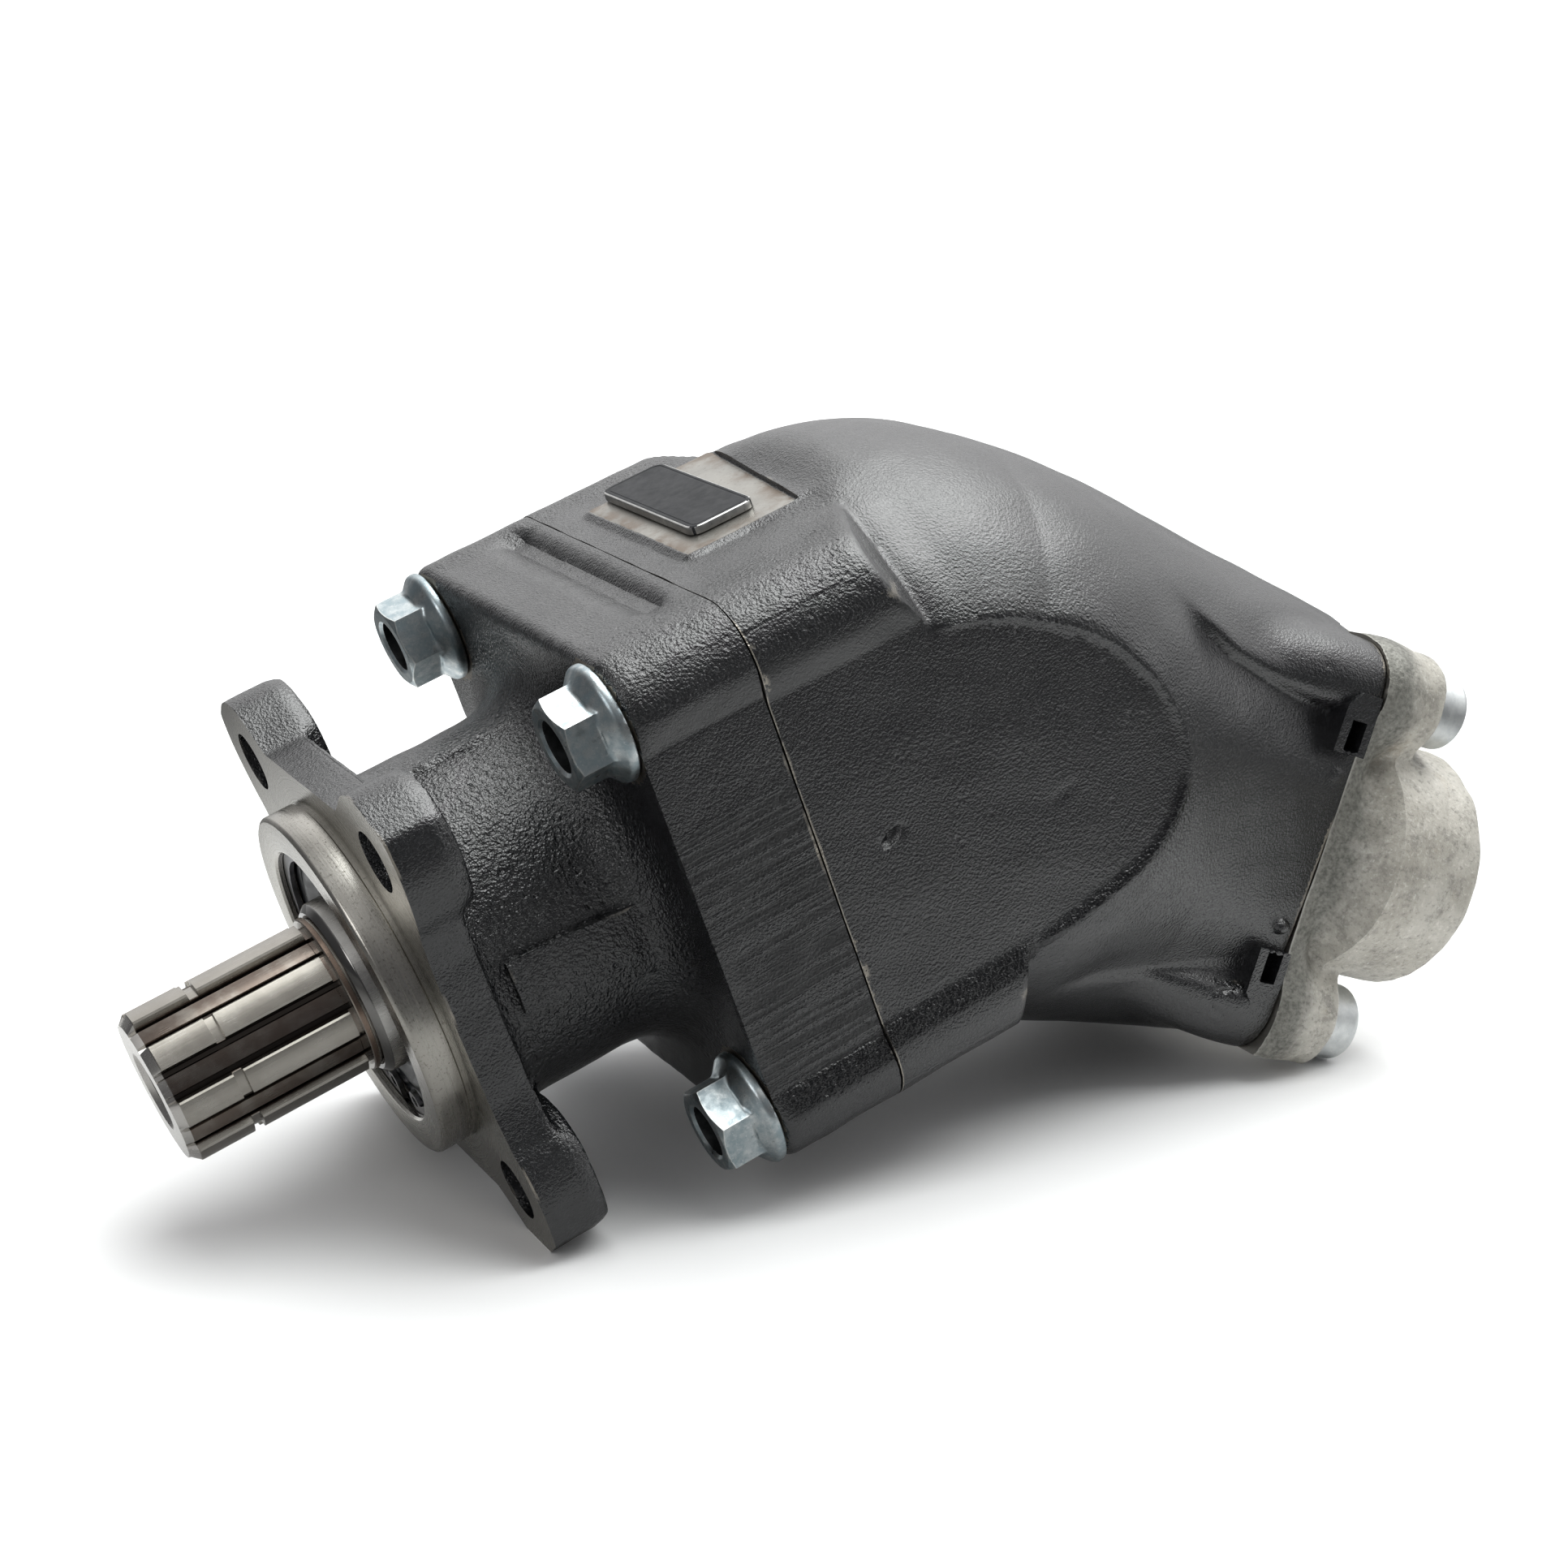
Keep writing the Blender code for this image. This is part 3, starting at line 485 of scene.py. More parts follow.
        # the milled spot under the plate is bare, browned along its border
        rear = t.math("SUBTRACT", t.math("SUBTRACT", x, t.math("MULTIPLY", y, 0.098)), 0.11815)
        dx = t.math("MAXIMUM", rear, t.math("SUBTRACT", 0.0889, x))
        dy = t.math("SUBTRACT", t.math("ABSOLUTE", t.math("SUBTRACT", y, 0.0042)), 0.0262)
        d = t.math("ADD", t.math("MAXIMUM", dx, dy), t.math("MULTIPLY", t.math("SUBTRACT", t.noise(240.0, 3.0, 0.6), 0.5), 0.0008))
        bare = t.math("MULTIPLY", t.span(d, -0.00030, 0.00005, 1.0, 0.0), t.span(z, 0.06082, 0.06094))
        mill = t.mix(t.span(t.noise(60.0, 4.0, 0.62), 0.35, 0.68), (0.235, 0.226, 0.206), (0.315, 0.304, 0.278))
        mill = t.mix(t.span(t.noise(900.0, 3.0, 0.65), 0.56, 0.72, 0.0, 0.6), mill, (0.135, 0.122, 0.104))
        brown = t.math("MULTIPLY", t.span(d, -0.0060, -0.0006), t.span(t.noise(110.0, 4.0, 0.65), 0.36, 0.60))
        mill = t.mix(t.math("MULTIPLY", brown, 0.8), mill, (0.120, 0.078, 0.046))
        col = t.mix(bare, col, mill)
        r = t.math("ADD", r, t.math("MULTIPLY", bare, 0.16))
        metal = t.math("MAXIMUM", metal, t.math("MULTIPLY", bare, 0.8))
        h = t.math("MULTIPLY", h, t.span(bare, 0.0, 1.0, 1.0, 0.12, "LINEAR"))
    t.set(Base_Color=col, Roughness=r, Metallic=metal)
    gloss = t.span(ramp_gloss_and_shade, 0.0, 1.0, 0.95, 0.48, "LINEAR")
    if streaks:
        gloss = t.math("MULTIPLY", gloss, t.span(groove, 0.0, 1.0, 1.0, 0.68, "LINEAR"))
    t.put(t.b.inputs["Specular IOR Level"], gloss)
    t.set(Normal=t.bump(h, 0.00026))
    return t.m


def turned(name, base, tint, rough=(0.24, 0.42), rings=900.0, depth=0.000012, specks=0.25):
    """Bare metal turned about the shaft axis."""
    t = Tree(name, True)
    x, y, z = t.xyz()
    r = t.math("SQRT", t.math("ADD", t.math("MULTIPLY", y, y), t.math("MULTIPLY", z, z)))
    w = t.math("ADD", r, x)
    ring = t.noise1(w, rings * 2.2, 3.0, 0.6)
    broad = t.noise(55.0, 4.0, 0.6)
    speck = t.span(t.noise(1900.0, 2.0, 0.6), 0.56, 0.74)
    col = t.mix(t.span(broad, 0.35, 0.70), base, tint)
    col = t.mix(t.math("MULTIPLY", speck, specks), col, (base[0] * 0.38, base[1] * 0.36, base[2] * 0.33))
    stain = t.math("MULTIPLY", t.span(t.noise(26.0, 5.0, 0.7), 0.60, 0.74), t.span(t.noise(300.0, 3.0), 0.46, 0.64, 0.0, 0.45))
    col = t.mix(stain, col, (0.26, 0.19, 0.12))
    t.set(Base_Color=col, Roughness=t.span(t.math("ADD", t.math("MULTIPLY", ring, 0.5), t.math("MULTIPLY", broad, 0.5)), 0.3, 0.7, rough[0], rough[1], "LINEAR"))
    t.b.inputs["Metallic"].default_value = 1.0
    h = t.math("ADD", ring, t.math("MULTIPLY", t.noise(1400.0, 3.0, 0.6), 0.9))
    t.set(Normal=t.bump(h, depth))
    return t.m


def plain_metal(name, a, b, rough=(0.22, 0.38), scale=180.0, depth=0.00001, stretch=None, dark=None, own=True):
    """Steel, zinc or bronze with blotches, fine scratches and a varying polish."""
    t = Tree(name, own)
    co = t.stretch(*stretch) if stretch else None
    blot = t.noise(scale, 4.0, 0.62)
    fine = t.noise(1.0 if stretch else scale * 9.0, 3.0, 0.6, co=co)
    col = t.mix(t.span(blot, 0.34, 0.68), a, b)
    if dark:
        col = t.mix(t.math("MULTIPLY", t.span(t.noise(scale * 2.3, 4.0, 0.7), 0.58, 0.74), 0.55), col, dark)
    t.set(Base_Color=col)
    t.set(Roughness=t.span(t.math("ADD", t.math("MULTIPLY", fine, 0.5), t.math("MULTIPLY", blot, 0.5)), 0.32, 0.68, rough[0], rough[1], "LINEAR"))
    t.b.inputs["Metallic"].default_value = 1.0
    t.set(Normal=t.bump(fine, depth))
    return t.m


def zinc(name):
    """Zinc plate: pale grey, bluish crystalline mottling, handling marks, painted highlights along the edges."""
    t = Tree(name, True)
    spangle = t.cells(420.0)
    mott = t.noise(300.0, 5.0, 0.70)
    fine = t.noise(1500.0, 3.0, 0.6)
    col = t.mix(t.span(mott, 0.36, 0.64), (0.33, 0.395, 0.42), (0.60, 0.635, 0.635))
    col = t.mix(t.span(spangle, 0.25, 0.75, 0.0, 0.45), col, (0.30, 0.375, 0.41))
    col = t.mix(t.span(fine, 0.58, 0.72, 0.0, 0.50), col, (0.70, 0.72, 0.71))
    col = t.mix(t.span(t.noise(150.0, 4.0, 0.65), 0.60, 0.72, 0.0, 0.55), col, (0.20, 0.24, 0.25))
    # lighter along the outer edges: painted highlights
    edge = t.span(t.attr("edge"), 0.25, 0.70, 0.0, 0.7)
    col = t.mix(edge, col, (0.78, 0.79, 0.77))
    t.set(Base_Color=col, Roughness=t.span(mott, 0.32, 0.68, 0.44, 0.26, "LINEAR"), Metallic=1.0)
    t.set(Normal=t.bump(t.math("ADD", mott, t.math("MULTIPLY", fine, 0.4)), 0.00004))
    return t.m


def cast_cap(name):
    """Bare shot-blasted casting, grey-beige and mottled, darker grey beside the joint, with painted shade in its
    hollows.
    """
    t = Tree(name, True)
    x, y, z = t.xyz()
    mott = t.noise(210.0, 5.0, 0.72)
    speck = t.noise(900.0, 3.0, 0.65)
    fine = t.noise(2300.0, 2.0, 0.6)
    broad = t.noise(38.0, 4.0, 0.6)
    edge = t.attr("edge")
    col = t.mix(t.span(broad, 0.34, 0.66), (0.340, 0.322, 0.280), (0.465, 0.447, 0.402))
    near_joint = t.math("ADD", t.math("MULTIPLY", t.math("SUBTRACT", x, 0.1105), 150.0), t.math("MULTIPLY", t.noise(75.0, 4.0, 0.65), 1.6))
    col = t.mix(t.span(mott, 0.50, 0.34, 0.0, 0.60), col, (0.200, 0.192, 0.170))
    col = t.mix(t.span(mott, 0.54, 0.70, 0.0, 0.45), col, (0.620, 0.600, 0.550))
    col = t.mix(t.span(speck, 0.46, 0.30, 0.0, 0.50), col, (0.150, 0.144, 0.130))
    col = t.mix(t.span(speck, 0.56, 0.72, 0.0, 0.45), col, (0.680, 0.660, 0.610))
    stain = t.math("MULTIPLY", t.span(t.noise(60.0, 5.0, 0.7), 0.56, 0.74), 0.4)
    col = t.mix(stain, col, (0.33, 0.265, 0.185))
    # darker grey towards the joint
    joint_grey = t.mix(t.span(speck, 0.34, 0.66), (0.075, 0.076, 0.066), (0.165, 0.165, 0.146))
    col = t.mix(t.span(near_joint, 1.5, 0.4, 0.0, 0.85), col, joint_grey)
    col = t.mix(t.span(edge, 0.25, 0.9, 0.0, 0.35), col, (0.64, 0.625, 0.58))
    # darker in hollows: painted shade
    col = t.mix(t.span(edge, -0.15, -0.8, 0.0, 0.50), col, (0.18, 0.170, 0.148))
    t.set(Base_Color=col, Roughness=t.span(speck, 0.3, 0.7, 0.62, 0.42, "LINEAR"))
    t.b.inputs["Metallic"].default_value = 0.30
    h = t.math("ADD", t.math("MULTIPLY", mott, 1.5), t.math("ADD", t.math("MULTIPLY", speck, 0.8), t.math("MULTIPLY", fine, 0.40)))
    t.set(Normal=t.bump(h, 0.00017))
    return t.m


def spline_steel(name):
    """Ground spline: bright tooth lands, brown oxide between the teeth, painted shade in the root reliefs."""
    t = Tree(name, True)
    x, y, z = t.xyz()
    r = t.math("SQRT", t.math("ADD", t.math("MULTIPLY", y, y), t.math("MULTIPLY", z, z)))
    lines = t.noise(1.0, 3.0, 0.6, co=t.stretch(30.0, 2400.0, 2400.0))
    ring = t.noise1(t.math("ADD", x, r), 2600.0, 2.0, 0.5)
    front = t.span(x, -0.0110, -0.0100)
    blot = t.noise(130.0, 4.0, 0.65)
    col = t.mix(t.span(blot, 0.34, 0.68), (0.335, 0.315, 0.282), (0.385, 0.365, 0.330))
    low = t.math("MULTIPLY", t.span(r, 0.01613, 0.01606), t.span(x, -0.0112, -0.0120))
    low = t.math("MULTIPLY", low, t.span(t.noise(160.0, 3.0, 0.6), 0.25, 0.6, 0.45, 1.0))
    col = t.mix(low, col, (0.185, 0.150, 0.128))
    # near black in the root reliefs: painted shade
    deep = t.math("MULTIPLY", t.span(r, 0.01585, 0.01555), t.span(x, -0.0112, -0.0120))
    deep = t.math("MULTIPLY", deep, t.span(r, 0.0120, 0.0140))
    col = t.mix(deep, col, (0.050, 0.043, 0.038))
    band = t.span(t.math("ABSOLUTE", t.math("ADD", x, 0.0107)), 0.0004, 0.0008, 1.0, 0.0)
    col = t.mix(t.math("MULTIPLY", band, 0.8), col, (0.235, 0.160, 0.120))
    rust = t.math("MULTIPLY", t.span(t.noise(85.0, 5.0, 0.7), 0.60, 0.76), 0.25)
    col = t.mix(rust, col, (0.25, 0.180, 0.130))
    col = t.mix(t.span(x, -0.05170, -0.05185), col, (0.62, 0.60, 0.57))
    t.set(Base_Color=col)
    mixed = t.math("ADD", t.math("MULTIPLY", lines, t.math("SUBTRACT", 1.0, front)), t.math("MULTIPLY", ring, front))
    t.set(Roughness=t.span(t.math("ADD", t.math("MULTIPLY", mixed, 0.6), t.math("MULTIPLY", blot, 0.4)), 0.32, 0.68, 0.19, 0.30, "LINEAR"))
    t.b.inputs["Metallic"].default_value = 1.0
    t.set(Normal=t.bump(mixed, 0.000004))
    return t.m


def soft_black(name, a, b, rough, sheen=0.5, own=True):
    t = Tree(name, own)
    n = t.noise(420.0, 3.0, 0.6)
    t.set(Base_Color=t.mix(t.span(t.noise(70.0, 3.0, 0.6), 0.35, 0.7), a, b))
    t.set(Roughness=t.span(n, 0.3, 0.7, rough[0], rough[1], "LINEAR"))
    t.b.inputs["Specular IOR Level"].default_value = sheen
    t.set(Normal=t.bump(n, 0.00002))
    return t.m


PAINT_FRONT = black_paint("paint_bearing_housing", streaks=True)
PAINT_REAR = black_paint("paint_barrel_housing", seam=81.15, pad=True)
BARE_FACE = turned("machined_iron", (0.43, 0.413, 0.376), (0.53, 0.513, 0.472), (0.19, 0.33), specks=0.85)
BORE = turned("machined_bore", (0.30, 0.29, 0.27), (0.40, 0.39, 0.37))
SEAT = plain_metal("spot_face", (0.175, 0.150, 0.122), (0.275, 0.250, 0.215), (0.34, 0.52), 220.0, 0.00002)
CAST = cast_cap("bare_casting")
PORT = turned("port_face", (0.36, 0.345, 0.315), (0.46, 0.445, 0.41), rings=1300.0)
ZINC = zinc("zinc_plate")
# a darker copy of the zinc for the bolts' dished recesses: painted shade
ZINC_RECESS_SHADE = plain_metal("zinc_recess_painted_shade", (0.06, 0.064, 0.066), (0.11, 0.115, 0.118), (0.34, 0.52), 260.0, 0.00001)
DULL_ZINC = plain_metal("dull_zinc", (0.62, 0.645, 0.65), (0.76, 0.78, 0.775), (0.38, 0.56), 300.0, 0.00002, dark=(0.48, 0.49, 0.48))
SPLINE = spline_steel("ground_spline")
STEEL = plain_metal("ground_steel", (0.42, 0.41, 0.39), (0.54, 0.53, 0.51), (0.20, 0.36), 150.0, 0.000008, (40.0, 1800.0, 1800.0))
JOURNAL = turned("polished_journal", (0.205, 0.20, 0.193), (0.25, 0.245, 0.235), (0.08, 0.15), rings=1500.0, depth=0.000004, specks=0.25)
SPRING = plain_metal("spring_steel", (0.14, 0.14, 0.15), (0.24, 0.24, 0.25), (0.26, 0.42), 200.0, 0.00001)
RUBBER = soft_black("seal_rubber", (0.010, 0.011, 0.013), (0.018, 0.020, 0.023), (0.30, 0.46))
PLATE = soft_black("plate_lacquer", (0.020, 0.021, 0.023), (0.030, 0.031, 0.034), (0.42, 0.55), 0.12)
PLATE_EDGE = plain_metal("plate_edge", (0.46, 0.46, 0.45), (0.62, 0.62, 0.60), (0.26, 0.42), 400.0, 0.000015, dark=(0.12, 0.12, 0.12))


# ------------------------------------------------------------------ bearing housing
def cavity_front(x, r):
    c = np.maximum(r - 31.7, slab(x, -10.0, -4.0))
    c = np.minimum(c, np.maximum(r - 33.2, slab(x, -6.3, -4.7)))
    c = np.minimum(c, np.maximum(r - 31.3, slab(x, -5.0, 9.0)))
    c = np.minimum(c, np.maximum(r - 28.0, slab(x, 8.0, 13.0)))
    c = np.minimum(c, np.maximum(r - 34.3, slab(x, 12.0, 34.5)))
    c = np.minimum(c, np.maximum(r - 31.0, slab(x, 34.0, 57.0)))
    c = np.minimum(c, np.maximum(r - 43.2, slab(x, 56.0, 90.0)))
    return c


def bearing_housing(x, y, z):
    ay, az = np.abs(y), np.abs(z)
    r = np.hypot(y, z)
    # flange: thinner web between four thick ears
    side = ay - (48.3 + 2.7 * step(15.0, 30.0, az))
    web2 = smax(az - 46.5, side, 2.0)
    ear2 = disc(ay, az, 40.0, 40.0, 13.5)
    out2 = smin(web2, ear2, 5.0)
    web = smax(out2, slab(x, -3.0, 9.8), 1.6)
    ears = smax(smax(out2 - 0.5, disc(ay, az, 40.0, 40.0, 16.0), 1.2), slab(x, -3.0, 13.5), 1.8)
    flange = smin(web, ears, 3.0)
    # neck and square body
    neck = np.maximum(r - 39.0, slab(x, 4.0, 60.0))
    body = smax(rsquare(y, z, 59.8, 13.27, 60.0), slab(x, 52.5, 90.0), 3.4)
    body = smax(body, (ay - 58.1 - 0.28 * np.maximum(az - 40.6, 0.0)) * 0.963, 0.6)
    f = smin(neck, body, 15.0)
    f = smin(f, flange, 6.0)
    # raised pad on the near side of the neck, flash line along its top
    pad = np.maximum(r - 40.75 - 0.12 * waves(x, y, z, 6.0, 9), slab(x, 16.0, 47.0))
    lo = -5.4 - (x - 17.0) * 0.214
    hi = 6.8 - (x - 18.0) * 0.062
    pad = np.maximum(np.maximum(pad, np.maximum(lo - z, z - hi)), y)
    f = smin(f, pad, 0.3)
    flash = np.hypot(np.hypot(y + 5.5, z - 38.75), 0.0 * x) - (0.80 + 0.22 * np.sin(x * 1.9) * np.sin(x * 0.83 + 1.0))
    f = smin(f, np.maximum(flash, slab(x, 15.0, 44.5)), 0.7)
    # finger groove across the top
    gd = 57.7 + np.maximum(x - 75.6, 0.0) * 1.05 + np.maximum(72.2 - x, 0.0) * 0.62
    gd = gd + np.maximum(np.abs(y - 3.0) - 36.0, 0.0) * 0.42
    f = smax(f, (z - gd) * 0.80, 1.9)
    f = f + 0.10 * waves(x, y, z, 16.0, 3) + 0.05 * waves(x, y, z, 6.0, 4)
    # machined faces, seats, bores and holes
    f = np.maximum(f, -x)
    q = disc(ay, az, 46.73, 46.73, 13.7)
    f = np.maximum(f, -np.maximum(q, slab(x, 38.0, 52.5)))
    f = np.maximum(f, x - 80.85)
    f = np.maximum(f, -cavity_front(x, r))
    f = np.maximum(f, -np.maximum(disc(ay, az, 40.0, 40.0, 6.75), slab(x, -4.0, 30.0)))
    f = np.maximum(f, -np.maximum(disc(ay, az, 46.73, 46.73, 6.7), slab(x, 50.0, 90.0)))
    return f


H1 = 0.95
me = field_mesh("bearing_housing_cast", bearing_housing, np.concatenate([grid(-1.13, 0.9, 0.45 * H1), grid(1.3, 83.0, H1)]), grid(-62.03, 62.2, H1), grid(-62.07, 62.3, H1))
ring = lathe([(1.2, 31.36), (1.2, 39.3), (-0.75, 39.3), (-0.95, 39.5), (-1.15, 40.0), (-7.1, 40.0), (-7.55, 39.78), (-8.0, 39.2), (-8.0, 32.5),
              (-7.85, 32.1), (-7.3, 31.7), (-6.3, 31.7), (-6.3, 33.2), (-4.7, 33.2), (-4.7, 31.36)], 192, True)
me = boolean(me, to_mesh(ring, "spigot_ring"), "UNION", "bearing_housing_cast")
me.shade_smooth()
me.set_sharp_from_angle(angle=math.radians(30))
c, nv = centres(me)
rr = np.hypot(c[:, 1], c[:, 2])
slots = np.zeros(len(c), int)
slots[(c[:, 0] < 0.25) & (nv[:, 0] < -0.7)] = 1
slots[(c[:, 0] < 0.05) & (rr < 40.6)] = 1
slots[(c[:, 0] > 0.0) & (rr < 43.6) & (cavity_front(c[:, 0], rr) > -0.6) & (np.abs(cavity_front(c[:, 0], rr)) < 0.5)] = 2
slots[(c[:, 0] > 80.7)] = 2
slots[(c[:, 0] > 51.5) & (c[:, 0] < 53.2) & (nv[:, 0] < -0.85) & (np.hypot(np.abs(c[:, 1]) - 46.73, np.abs(c[:, 2]) - 46.73) < 13.9)] = 3
paint_faces(me, slots)
co = np.zeros(len(me.vertices) * 3, np.float32)
me.vertices.foreach_get("co", co)
co = co.reshape(-1, 3) / MM
vr = np.hypot(co[:, 1], co[:, 2])
rough = np.where((co[:, 0] > 9) & (co[:, 0] < 55), 1.0, 0.35) * np.clip((58.0 - vr) / 8.0, 0.35, 1.0)
block = step(54.0, 57.0, co[:, 0]) * step(55.6, 57.6, np.abs(co[:, 1]))
rough = np.maximum(rough, 0.85 * step(68.0, 74.0, vr) * step(54.0, 57.0, co[:, 0]))
rough = rough + (0.50 - rough) * block
# the lower ramp band, given a glossier finish and darkened in colour as painted shade
ramp_gloss_and_shade = block * step(40.4, 41.4, -co[:, 2]) * (1.0 - step(46.0, 48.0, -co[:, 2]))
rough = rough + (1.0 - rough) * ramp_gloss_and_shade
me.attributes.new("ramp_gloss_and_shade", "FLOAT", "POINT").data.foreach_set("value", ramp_gloss_and_shade.astype(np.float32))
smooth = block * step(39.6, 41.0, co[:, 2]) * (1.0 - step(46.0, 48.5, co[:, 2]))
rough = rough - (rough + 0.40) * smooth
me.attributes.new("rough", "FLOAT", "POINT").data.foreach_set("value", rough.astype(np.float32))
place("bearing_housing_cast", me, PUMP, "housing", "bearing_housing", [PAINT_FRONT, BARE_FACE, BORE, SEAT])

# ------------------------------------------------------------------ barrel housing
ROWS = np.array([(0.0, 67.2, 65.0, 2.25), (14.0, 67.4, 65.4, 2.25), (28.0, 65.4, 64.4, 2.25),
                 (41.0, 62.0, 62.6, 2.25), (54.0, 57.7, 60.9, 2.3), (67.0, 53.2, 58.6, 2.5),
                 (81.0, 49.2, 56.2, 2.8), (95.0, 46.2, 54.2, 3.3), (103.0, 45.2, 52.9, 3.6),
                 (112.0, 44.6, 51.4, 3.8)])
FIT_A, FIT_B, FIT_N = (np.polyfit(ROWS[:, 0], ROWS[:, i], 4) for i in (1, 2, 3))
CHEEK = [(95.0, 34.0), (121.7, 35.4), (128.7, 33.5), (137.4, 29.7), (145.7, 24.1), (153.8, 17.1), (158.0, 12.4), (161.4, 7.0),
         (164.4, 1.4), (166.2, -4.4), (167.2, -11.0), (167.0, -17.0), (165.6, -21.2), (162.9, -25.0), (159.6, -28.8),
         (155.2, -32.2), (149.0, -34.6), (143.0, -35.9), (131.5, -37.9), (120.1, -39.8), (116.5, -44.1), (95.0, -46.0)]


def barrel_housing(x, y, z):
    ay, az = np.abs(y), np.abs(z)
    r = np.hypot(y, z)
    xb = (x - BEND_X) * CB - z * SB
    zb = (x - BEND_X) * SB + z * CB
    # elbow and tapering tube
    u = np.clip(xb, 0.0, 112.0)
    a, b, n = np.polyval(FIT_A, u), np.polyval(FIT_B, u), np.maximum(np.polyval(FIT_N, u), 2.0)
    a = a * (1.0 - np.interp(xb, [0.0, 45.0, 70.0, 100.0], [0.020, 0.020, 0.045, 0.025]) * 0.5 * (1.0 - np.tanh((zb - 2.0) / 11.0)))
    zz = zb - 0.6
    norm = ((ay / a) ** n + (np.abs(zz) / b) ** n) ** (1.0 / n)
    norm = np.sqrt(norm ** 2 + (np.minimum(xb, 0.0) / 65.4) ** 2)
    tube = (norm - 1.0) * np.minimum(a, b)
    tube = smax(tube, z - 62.0 - 0.40 * np.maximum(x - 119.0, 0.0), 3.0)
    # squarer shoulder behind the square flange
    top = 58.6 + 3.4 * step(112.0, 128.0, x)
    qy, qz = np.maximum(ay - 23.0, 0.0), np.maximum(z - (top - 38.0), 0.0)
    shoulder = np.hypot(qy, qz) - 36.9
    shoulder = smax(smax(shoulder, slab(x, 70.0, 128.5), 12.0), -z, 20.0)
    f = smin(tube, shoulder, 4.0)
    # fairings running forward from the four cap bosses
    cx = np.clip(xb, 48.0, 112.0)
    t = np.clip((cx - 48.0) / 55.0, 0.0, 1.0)
    fr = 2.6 + 8.9 * (1.0 - (1.0 - t) ** 2.2)
    fy = np.where(zb > 0.0, 35.0, 34.6) - 2.6 * (1.0 - t) ** 2
    fz = 38.5 - 5.0 * (1.0 - t) ** 2
    fair = np.sqrt((ay - fy) ** 2 + (np.abs(zb) - fz) ** 2 + (xb - cx) ** 2) - fr
    f = smin(f, fair, 3.0)
    # valleys beside the fairings, steep on the fairing side
    up = np.interp(xb, [38.0, 51.8, 60.4, 75.7, 90.0, 102.0], [46.5, 40.0, 36.4, 33.2, 31.6, 31.0])
    dn = np.interp(xb, [42.0, 52.0, 67.0, 81.0, 95.5], [42.0, 37.8, 34.1, 32.6, 32.8])
    run = step(36.0, 56.0, xb) * (1.0 - step(92.0, 102.0, xb)) * step(28.0, 38.0, ay)
    for s, deep in ((zb - up, 2.7), (-zb - dn, 1.7)):
        f = f + deep * run * np.exp(-(s / np.where(s > 0.0, 2.4, 8.5)) ** 2)
    # flat cheeks
    f = smax(f, ay - 59.9, 1.0)
    out = polygon(x, z, CHEEK)
    cheek = smax(out, ay - 58.3, 1.0)
    f = smin(f, np.maximum(cheek, 45.0 - ay), 0.8)
    # square flange with its rounded corners, its back turned to a shallow cone
    rear = np.maximum(70.0 - x, np.maximum(x - 120.6, (x - 120.8 + 0.69 * (r - 67.5)) * 0.82))
    prism = smax(rsquare(y, z, 60.1, 13.27, 60.0), rear, 0.8)
    f = smin(f, prism, 0.9)
    # sides and cheeks share one flat, sunk a little, with a ramp up to the corners and the tube
    flat = np.where(x < 120.6, 0.28 * np.maximum(az - 38.5, 0.0), (0.50 + 0.45 * step(-10.0, 6.0, z)) * np.maximum(out, 0.0))
    f = smax(f, (ay - 58.3 - flat) * 0.94, 0.5)
    # raised pad for the plate
    pad = smax(rsquare(x - 104.5, y - 4.2, 16.2, 2.0, 26.8), z - 61.7, 0.8)
    pad = np.maximum(pad, 50.0 - z)
    f = smin(f, pad, 1.6)
    # sharp little lugs at the cap seam, each with a pocket
    for sz, yy in ((1.0, 47.6), (-1.0, 46.2)):
        zl = sz * zb
        lug = np.maximum(np.maximum(ay - yy, 36.0 - ay), slab(xb, 93.6, 112.0))
        lug = np.maximum(lug, slab(zl, 24.0, 38.5))
        lug = np.maximum(lug, (zl - 34.0 - (xb - 92.6)) * 0.707)
        f = np.minimum(f, lug)
        hole = np.maximum(slab(xb, 96.2, 100.6), slab(zl, 24.9, 32.0))
        hole = np.maximum(hole, 39.5 - ay)
        f = np.maximum(f, -hole)
        nub = np.sqrt(((xb - 99.0) / 2.2) ** 2 + ((ay - 44.4) / 1.3) ** 2 + ((zl - 18.6) / 1.6) ** 2) - 1.0
        f = smin(f, nub * 1.3, 0.6)
    # cast unevenness and two dings on the near cheek
    f = f + 0.11 * waves(x, y, z, 20.0, 5) + 0.05 * waves(x, y, z, 7.0, 6)
    ding = np.sqrt(((x - 97.2) / 3.5) ** 2 + ((z + 0.8 - 0.30 * (x - 97.2)) / 1.7) ** 2 + ((y + 58.8) / 1.9) ** 2) - 1.0
    f = smax(f, -ding * 1.6, 0.35)
    line = np.sqrt(((x - 137.2) / 4.2) ** 2 + ((z + 11.4 - 0.16 * (x - 137.2)) / 1.1) ** 2 + ((y + 58.5) / 0.70) ** 2) - 1.0
    f = smax(f, -line, 0.4)
